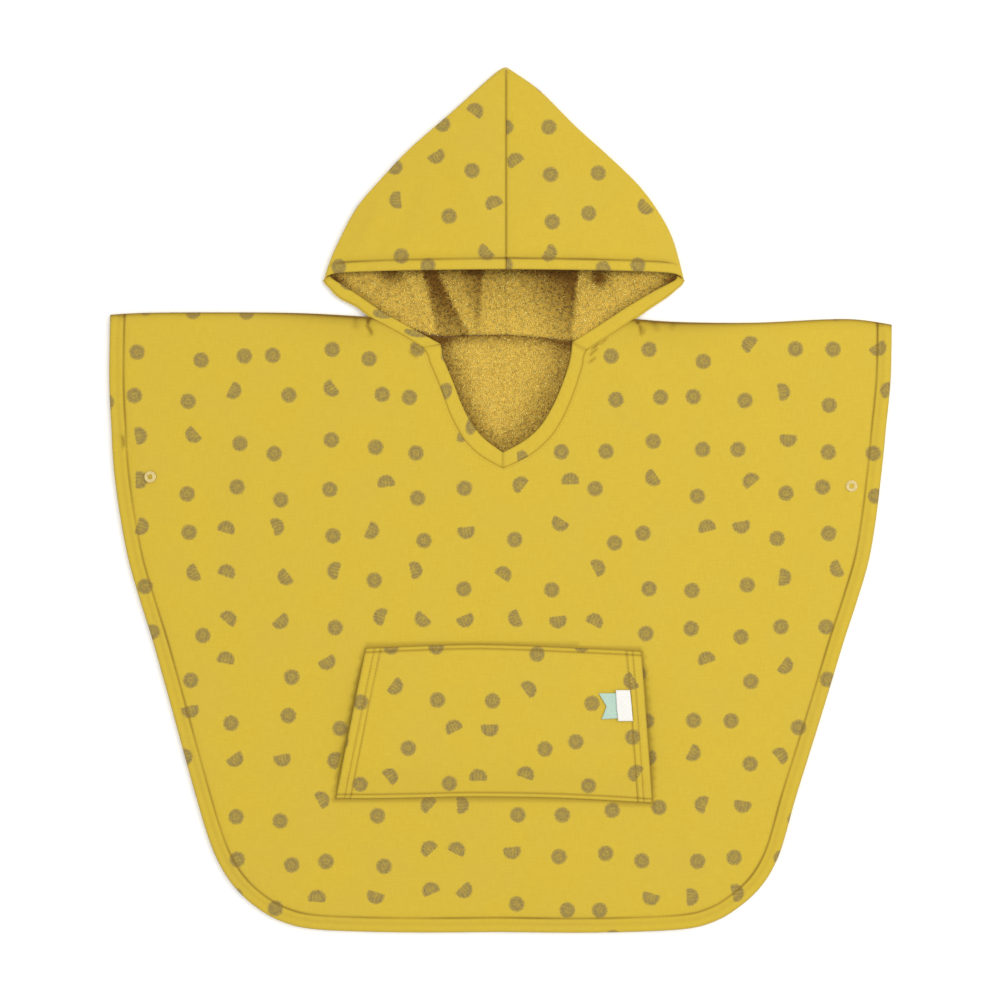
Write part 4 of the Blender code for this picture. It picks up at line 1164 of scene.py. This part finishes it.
    def cut_size(self, grid, layer, turn):
        """Width and length of the half's cut, its upper layer turned out about the side fold."""
        layers = [grid[:, layer < 0, :2], grid[:, layer > 0, :2]]
        tip = layers[0][0, 0]
        along = layers[0][-1, -1] - tip
        along = along / hypot(*along)
        aside = np.array((-along[1], along[0]))
        width = sum(np.abs((half - tip) @ aside).max() for half in layers) + pi * turn
        return width, np.ptp(np.concatenate([((half - tip) @ along).ravel() for half in layers]))

    def area_of(self, grid):
        across = grid[:-1, 1:] - grid[:-1, :-1]
        down = grid[1:, :-1] - grid[:-1, :-1]
        return float(np.sum(np.linalg.norm(np.cross(across, down), axis=2)))


# ------------------------------------------------------------------------ pocket and label
class PONCHO_OT_pocket(bpy.types.Operator):
    """Makes the kangaroo pocket, arched between its seams, open at both sides"""

    bl_idname = "poncho.pocket"
    bl_label = "Pocket"

    def execute(self, context):
        sizes = context.scene.poncho_sizes
        hem = sizes.pocket_hem / MM
        seam = sizes.pocket_seam / MM
        loop = body_paths()["pocket"]
        sides = four_sides(loop)
        bottom = measured(curve(min(sides, key=lambda side: np.mean(side[:, 1])), 2.0))
        top = measured(curve(max(sides, key=lambda side: np.mean(side[:, 1]))[::-1], 2.0))
        hems = hem + np.array((-6.0, -5.4, -5.0, -4.6, -4.0, -2.4, -0.8, -0.3, 0.0, 0.3, 0.8, 2.0, 4.0))
        across = self.steps((0.0, 0.3, 0.8, 1.5, 3.6), hems, hem + 7.0, 260.0)
        seams = seam + np.array((-1.8, -1.0, -0.5, 0.0, 0.5, 1.0, 2.0, 4.0))
        up = self.steps((0.0, 0.3, 0.8), seams, seam + 7.0, 128.0)
        low = at_share(bottom, across)[None]
        grid = low + (at_share(top, across)[None] - low) * up[:, None, None]
        points = grid.reshape(-1, 2)
        openings = [np.array([bottom[0][k], top[0][k]]) for k in (0, -1)]
        to_left, along_left = away(points, openings[0])
        to_right, along_right = away(points, openings[1])
        side = np.minimum(to_left, to_right)
        run = np.where(to_left < to_right, along_left, along_right)
        end_top, along_top = away(points, top[0])
        end_bottom, along_bottom = away(points, bottom[0])
        end = np.minimum(end_top, end_bottom)
        along = np.where(end_top < end_bottom, along_top, along_bottom)
        rim = np.minimum(side, end)
        faces = quads(len(up), len(across))
        base = settle(faces, underside(points, away(points, closed(loop))[0], "pocket", 1.6), 10)
        sewn = bell(end - seam, 0.8)
        rows = bell(side - hem, 0.7) + 0.8 * bell(side - hem + 5.0, 0.7)
        wave = 0.35 * uneven_wave(run, 21.0, 13.0) * soft_step((hem - 4.0 - side) / 4.0)
        relief = 0.8 * (1 - soft_step((side - hem + 0.5) / 1.4)) - 0.6 * rows - 0.75 * sewn + wave
        relief += 0.35 * uneven_wave(along, 16.0, 21.0) * bell(end - seam - 6.0, 5.0)
        flutter = np.sin(points[:, 0] / 21.0 + np.sin(points[:, 1] / 17.0))
        relief += 0.3 * flutter * soft_step((rim - 16.0) / 12.0)
        share = rounded(rim)
        top_z = base + CLOTH / 2 * (1 + share) + relief * soft_step(rim / 1.4)
        low_z = base + CLOTH / 2 * (1 - share) + 0.5 * wave * soft_step(rim / 3.0)
        # Painted shade along the sewn seams, the hems' stitch rows and the pocket's edges.
        shade = 0.6 * sewn + 0.5 * rows + 0.5 * bell(end, 0.9) + 0.3 * bell(side, 1.0)
        shape = grid.shape[:2]
        tops = np.dstack((grid, top_z.reshape(shape)))
        lows = np.dstack((grid, low_z.reshape(shape)))
        maker = grid_wall(tops, lows, (grid + (331.0, 17.0)) * MM, shade)
        LINES["pocket_sides"] = (top[0], bottom[0], *openings)
        lay(maker, "pocket_cloth", "pocket", np.ptp(loop, axis=0))
        return {"FINISHED"}

    def steps(self, edge, seams, start, whole):
        """Shares across the pocket, close together at both edges and at the seams."""
        half = np.concatenate((edge, seams[seams > edge[-1] + 0.2], np.arange(start, whole / 2, 3.5))) / whole
        return np.concatenate((half, 1 - half[::-1]))


class PONCHO_OT_label(bpy.types.Operator):
    """Makes the mint ribbon and the bare white tag on the pocket's hem"""

    bl_idname = "poncho.label"
    bl_label = "Label"

    def execute(self, context):
        for node, kind, bow in (("label_ribbon", "ribbon", 0.12), ("label_tag", "satin", 0.2)):
            loop = node_outline(node)
            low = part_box(node)[0][2] / MM
            fine = even(closed(loop), 0.8)[:-1]
            points, faces = plane_mesh(fine, beside(closed(fine), (0.3, 0.7), 0.6), 1.2, 0.5)
            rim = away(points, closed(loop))[0]
            share = rounded(rim, 0.7)
            middle = loop.mean(axis=0)
            lie = bow * (1 - np.cos((points[:, 1] - middle[1]) / 5.0))
            lie += 0.12 * np.sin(points[:, 0] / 2.7 + points[:, 1] / 4.0)
            sewn = bell(points[:, 1] - loop[:, 1].max() + 2.6, 0.5) * (node == "label_tag")
            base = low + 0.1 + 0.32 * (1 - share)
            top = low + 0.1 + 0.32 * (1 + share) + lie * soft_step(rim / 0.8) - 0.16 * sewn
            maker = cloth_wall(points, faces, base, top, 0.0 * rim)
            lay(maker, node + "_cloth", node, np.ptp(loop, axis=0), kind)
        return {"FINISHED"}


# ----------------------------------------------------------------------------- press-studs
class PONCHO_OT_snaps(bpy.types.Operator):
    """Makes the rings of the press-studs and gives their hidden halves the same resin"""

    bl_idname = "poncho.snaps"
    bl_label = "Press-studs"

    def execute(self, context):
        for side, centre in SNAPS:
            node = "snap_" + side + "_cap"
            low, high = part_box(node)
            radius = (high[0] - low[0]) / 2 / MM
            tall = (high[2] - low[2]) / MM
            # Half of the ring's section, as radius and height: a dished rim round a bead.
            profile = (
                (1.9, 0.0),
                (radius - 0.7, 0.0),
                (radius, tall * 0.35),
                (radius - 0.35, tall * 0.85),
                (radius - 1.1, tall),
                (radius - 1.7, tall * 0.7),
                (2.9, tall * 0.62),
                (2.3, tall * 0.95),
                (1.9, tall * 0.6),
            )
            maker = bmesh.new()
            verts = [maker.verts.new((r * MM, 0.0, z * MM)) for r, z in profile]
            edges = [maker.edges.new((a, b)) for a, b in zip(verts, verts[1:] + verts[:1])]
            bmesh.ops.spin(
                maker,
                geom=verts + edges,
                axis=(0, 0, 1),
                cent=(0, 0, 0),
                angle=2 * pi,
                steps=48,
                use_merge=True,
            )
            bmesh.ops.remove_doubles(maker, verts=maker.verts, dist=1e-6)
            bmesh.ops.recalc_face_normals(maker, faces=maker.faces)
            sharp = [edge for edge in maker.edges if edge.calc_face_angle(0.0) > 0.5]
            bmesh.ops.bevel(
                maker, geom=sharp, offset=0.12 * MM, segments=2, profile=0.5, affect="EDGES", material=-1
            )
            bmesh.ops.translate(maker, verts=maker.verts, vec=Vector((*centre, low[2] / MM)) * MM)
            ring = "snap_" + side + "_ring"
            finish_piece(maker, ring, GARMENT["resin"], [node], pi / 5)
            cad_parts["snap_" + side + "_socket"].material_slots[0].material = GARMENT["resin"]
        return {"FINISHED"}


# ------------------------------------------------------------------------- sewing and loops
def stitch_template(reach, thick):
    """A short fat thread that dips at both ends."""
    maker = bmesh.new()
    bmesh.ops.create_uvsphere(maker, u_segments=6, v_segments=5, radius=0.5)
    bmesh.ops.rotate(maker, verts=maker.verts, cent=(0, 0, 0), matrix=Matrix.Rotation(pi / 2, 3, "Y"))
    bmesh.ops.scale(maker, verts=maker.verts, vec=(reach, thick, thick * 0.9))
    for vert in maker.verts:
        vert.co.z -= 0.9 * thick * (2 * vert.co.x / reach) ** 4
    maker.verts.index_update()
    template = [tuple(vert.co) for vert in maker.verts]
    faces = [tuple(vert.index for vert in face.verts) for face in maker.faces]
    maker.free()
    return template, faces


def sewn_places(path, pitch, tree, sink):
    """Where each stitch of a line sits on the cloth under it."""
    stops = even(path, pitch)
    spots = []
    for start, end in zip(stops[:-1], stops[1:]):
        heights = []
        for share in (0.2, 0.5, 0.8):
            above = Vector((*(start + (end - start) * share), 60.0)) * MM
            hit = tree.ray_cast(above, Vector((0, 0, -1)))[0]
            heights.append(None if hit is None else hit.z / MM)
        if None in heights:
            continue
        along = Vector((*(end - start), (heights[2] - heights[0]) / 0.6)).normalized()
        across = Vector((0, 0, 1)).cross(along).normalized()
        turn = Matrix((along, across, along.cross(across))).transposed().to_4x4()
        place = Vector((*((start + end) / 2), max(heights) - sink))
        spots.append(Matrix.Translation(place) @ turn)
    return spots


class PONCHO_OT_stitching(bpy.types.Operator):
    """Sews the lines of stitches of the hems, the neck, the hood and the pocket"""

    bl_idname = "poncho.stitching"
    bl_label = "Stitching"

    def execute(self, context):
        sizes = context.scene.poncho_sizes
        self.pitch = sizes.stitch / MM
        self.template = stitch_template(self.pitch * 0.82, sizes.thread / MM)
        lines = body_paths()
        self.sew("hem_stitches", ["front_cloth"], [offset(lines["sides"], sizes.hem_width / MM)[2:-2]])
        self.sew("neck_stitches", ["front_cloth"], [offset(lines["front_neck"], 2.2)[3:-3]])
        hood = ["hood_left_cloth", "hood_right_cloth"]
        self.sew("hood_stitches", hood, [lines["brow_left"], lines["brow_right"]])
        top, bottom, left, right = lines["pocket_sides"]
        seam = sizes.pocket_seam / MM
        hem = sizes.pocket_hem / MM
        paths = [offset(top[::-1], seam)[1:-1], offset(bottom, seam)[1:-1]]
        for depth in (hem, hem - 5.0):
            paths.append(offset(even(left[::-1], 3.0), depth)[2:-2])
            paths.append(offset(even(right, 3.0), depth)[2:-2])
        self.sew("pocket_stitches", ["pocket_cloth"], paths)
        tag = node_outline("label_tag")
        height = tag[:, 1].max() - 2.6
        line = np.array([(tag[:, 0].min() + 1.6, height), (tag[:, 0].max() - 2.4, height)])
        self.pitch = 1.9
        self.template = stitch_template(1.5, 0.4)
        self.sew("tag_stitches", ["label_tag_cloth"], [line])
        return {"FINISHED"}

    def sew(self, name, pieces, paths):
        tree = surface(*(GARMENT[piece].data for piece in pieces))
        spots = [spot for path in paths for spot in sewn_places(path, self.pitch, tree, 0.22)]
        copies(name, *self.template, spots, GARMENT["thread"], "woven_cotton_mustard", np.zeros(len(spots)))


def loop_template(width, tall, thick):
    """A loop of yarn: an arch with a three-sided section, closed at its feet."""
    points = []
    spans = 5
    for k in range(spans + 1):
        angle = pi * k / spans
        centre = Vector((-width / 2 * cos(angle), 0.0, tall * sin(angle) - 0.25))
        outward = Vector((-cos(angle), 0.0, sin(angle)))
        for turn in (0.0, 2 * pi / 3, 4 * pi / 3):
            points.append(tuple(centre + outward * (thick * cos(turn)) + Vector((0, thick * sin(turn), 0))))
    faces = [(2, 1, 0), (3 * spans, 3 * spans + 1, 3 * spans + 2)]
    for k in range(spans):
        for j in range(3):
            a = 3 * k + j
            b = 3 * k + (j + 1) % 3
            faces.append((a, b, b + 3, a + 3))
    return points, faces


class PONCHO_OT_loops(bpy.types.Operator):
    """Stands the terry's loops up where the neck and the hood's mouth show them"""

    bl_idname = "poncho.loops"
    bl_label = "Terry loops"

    def execute(self, context):
        sizes = context.scene.poncho_sizes
        self.pitch = sizes.loop_pitch / MM
        self.random = Random(11)
        self.template = loop_template(1.8, sizes.loop_height / MM, 0.44)
        lines = body_paths()
        tree = surface(GARMENT["back_terry"].data)
        neck = lines["front_neck"]
        low = neck.min(axis=0)
        spots = []
        for y in np.arange(low[1], 146.0, self.pitch * 0.9):
            for x in np.arange(low[0], neck[:, 0].max(), self.pitch):
                spots.append((x + self.random.uniform(-0.8, 0.8), y + self.random.uniform(-0.8, 0.8)))
        spots = np.array(spots)
        inside = within(spots, neck) & (away(spots, neck)[0] > 3.0) & within(spots, lines["lining"])
        inside &= below_neck(spots) > 0.9
        placed = []
        normals = []
        for x, y in spots[inside]:
            hit, normal = tree.ray_cast(Vector((x, y, 20.0)) * MM, Vector((0, 0, -1)))[:2]
            if hit is not None:
                placed.append(hit / MM)
                normals.append(normal)
        self.stand("neck_loops", placed, normals)
        for name in ("left", "right"):
            self.hood_loops(name)
        return {"FINISHED"}

    def hood_loops(self, name):
        """Loops over the lower terry of the hood, from the neck seam to a hand's depth."""
        grid = GARMENT["terry_floor_" + name]
        placed = []
        normals = []
        for i in range(len(grid) - 1):
            for j in range(grid.shape[1] - 1):
                a, b, c, d = (Vector(grid[k]) for k in ((i, j), (i, j + 1), (i + 1, j + 1), (i + 1, j)))
                if (a.y + c.y) / 2 > SEEN_TO:
                    continue
                normal = (b - a).cross(d - a)
                normal = -normal if normal.z < 0 else normal
                wanted = normal.length / self.pitch**2 / 0.9
                for _ in range(int(wanted) + (self.random.random() < wanted % 1)):
                    u = self.random.random()
                    v = self.random.random()
                    placed.append((a * (1 - u) + b * u) * (1 - v) + (d * (1 - u) + c * u) * v)
                    normals.append(normal.normalized())
        self.stand("hood_loops_" + name, placed, normals)

    def stand(self, name, placed, normals):
        """Sets loops upright, each turned, leant and sized in its own way, and given the painted shade of its
        place, made lighter or darker at random.
        """
        random = self.random
        places = []
        for spot, normal in zip(placed, normals):
            lean = Matrix.Rotation(random.uniform(-0.5, 0.5), 4, "X")
            lean = lean @ Matrix.Rotation(random.uniform(-0.5, 0.5), 4, "Y")
            grow = Matrix.Diagonal((random.uniform(0.8, 1.15),) * 2 + (random.uniform(0.7, 1.15), 1.0))
            upright = normal.to_track_quat("Z", "Y").to_matrix().to_4x4()
            turn = Matrix.Rotation(random.uniform(0, 2 * pi), 4, "Z")
            places.append(Matrix.Translation(spot) @ upright @ lean @ turn @ grow)
        # Each loop's tone is the painted shade of its place, made lighter or darker at random.
        tones = terry_shade(np.array([spot[:2] for spot in placed]))
        tones = np.clip(tones + [random.uniform(-0.3, 0.34) for _ in placed], 0.0, 1.0)
        copies(name, *self.template, places, GARMENT["yarn"], "terry_ochre", tones)


# ----------------------------------------------------------------------------------- stage
class PONCHO_OT_stage(bpy.types.Operator):
    """Sets the pale floor, the soft lights and the camera straight above the garment"""

    bl_idname = "poncho.stage"
    bl_label = "Stage"

    def execute(self, context):
        scene = context.scene
        maker = bmesh.new()
        bmesh.ops.create_grid(maker, x_segments=2, y_segments=2, size=4.0)
        bmesh.ops.translate(maker, verts=maker.verts, vec=(0.0, 0.0, -0.0002))
        mesh = bpy.data.meshes.new("floor")
        maker.to_mesh(mesh)
        maker.free()
        floor = bpy.data.objects.new("floor", mesh)
        shade, _, shader = new_material("matt_floor", 0.9, Specular_IOR_Level=0.1)
        shader.inputs["Base Color"].default_value = (*scene.poncho_colours.floor, 1.0)
        mesh.materials.append(shade)
        context.collection.objects.link(floor)
        self.light("key", (1.0, 0.35, 2.0), 1.8, 32.0)
        self.light("fill", (-1.1, -0.4, 2.0), 1.8, 14.0)
        world = bpy.data.worlds.new("studio")
        world.use_nodes = True
        background = world.node_tree.nodes["Background"]
        background.inputs["Color"].default_value = (1.0, 1.0, 1.0, 1.0)
        background.inputs["Strength"].default_value = 0.6
        scene.world = world
        camera = bpy.data.cameras.new("camera")
        camera.lens = LENS
        camera.clip_end = 20.0
        eye = bpy.data.objects.new("camera", camera)
        eye.location = (-0.0004, 0.0, 0.004 + FRAME_WIDTH * LENS / SENSOR)
        context.collection.objects.link(eye)
        scene.camera = eye
        scene.view_settings.view_transform = "Standard"
        return {"FINISHED"}

    def light(self, name, place, size, power):
        """A square soft light that looks at the middle of the garment."""
        lamp = bpy.data.lights.new(name, "AREA")
        lamp.size = size
        lamp.energy = power
        holder = bpy.data.objects.new(name, lamp)
        holder.location = place
        holder.rotation_euler = (-Vector(place)).to_track_quat("-Z", "Y").to_euler()
        bpy.context.collection.objects.link(holder)


class PONCHO_OT_materials(bpy.types.Operator):
    """Mixes the cloths, the thread, the resin and the ribbons"""

    bl_idname = "poncho.materials"
    bl_label = "Materials"

    def execute(self, context):
        c = context.scene.poncho_colours
        GARMENT["cotton"] = printed_cotton(context.scene.poncho_sizes, c)
        GARMENT["terry"] = terry("terry_ochre", 1.6, c.terry_mid, c.terry_ground, c.terry_dark, 1.0)
        # The loops' own yarn is soft and catches more light than the ground cloth.
        GARMENT["yarn"] = terry("terry_yarn", 2.2, c.terry_light, c.terry_mid, c.terry_dark, 0.3)
        # Spun polyester thread: slightly glossier than the cloth, twisted.
        GARMENT["thread"] = tinted("sewing_thread", 0.55, c.thread, c.thread_dark, 0.4)
        # Moulded acetal: smooth and a little waxy.
        GARMENT["resin"] = tinted("snap_resin_cream", 0.36, c.snap, c.snap_dark, 2.0, IOR=1.48)
        # Polyester ribbon and satin tape: fine ribs across, with a soft shine.
        GARMENT["ribbon"] = tinted("ribbon_mint", 0.55, c.ribbon, c.ribbon_dark, 1.2, True, 7.9)
        GARMENT["satin"] = tinted("satin_white", 0.45, c.tag, c.tag_dark, 1.2, True, 10.5)
        return {"FINISHED"}


STEPS = (
    PONCHO_OT_materials,
    PONCHO_OT_back,
    PONCHO_OT_bands,
    PONCHO_OT_back_terry,
    PONCHO_OT_front,
    PONCHO_OT_hood,
    PONCHO_OT_pocket,
    PONCHO_OT_label,
    PONCHO_OT_snaps,
    PONCHO_OT_stitching,
    PONCHO_OT_loops,
    PONCHO_OT_stage,
)


class PONCHO_PT_panel(bpy.types.Panel):
    """Lists the garment's sizes, colours and steps"""

    bl_idname = "PONCHO_PT_panel"
    bl_label = "Hooded bath poncho"
    bl_space_type = "VIEW_3D"
    bl_region_type = "UI"
    bl_category = "Poncho"

    def draw(self, context):
        for group in (context.scene.poncho_sizes, context.scene.poncho_colours):
            box = self.layout.box()
            for name in group.bl_rna.properties.keys():
                if name not in ("name", "rna_type"):
                    box.prop(group, name)
        for step in STEPS:
            self.layout.operator(step.bl_idname)


CLASSES = (PonchoSizes, PonchoColours, *STEPS, PONCHO_PT_panel)


def register():
    for item in CLASSES:
        bpy.utils.register_class(item)
    bpy.types.Scene.poncho_sizes = bpy.props.PointerProperty(type=PonchoSizes)
    bpy.types.Scene.poncho_colours = bpy.props.PointerProperty(type=PonchoColours)


def unregister():
    del bpy.types.Scene.poncho_colours
    del bpy.types.Scene.poncho_sizes
    for item in reversed(CLASSES):
        bpy.utils.unregister_class(item)


def main():
    register()
    for step in STEPS:
        group, name = step.bl_idname.split(".")
        getattr(getattr(bpy.ops, group), name)()


if __name__ == "__main__":
    main()
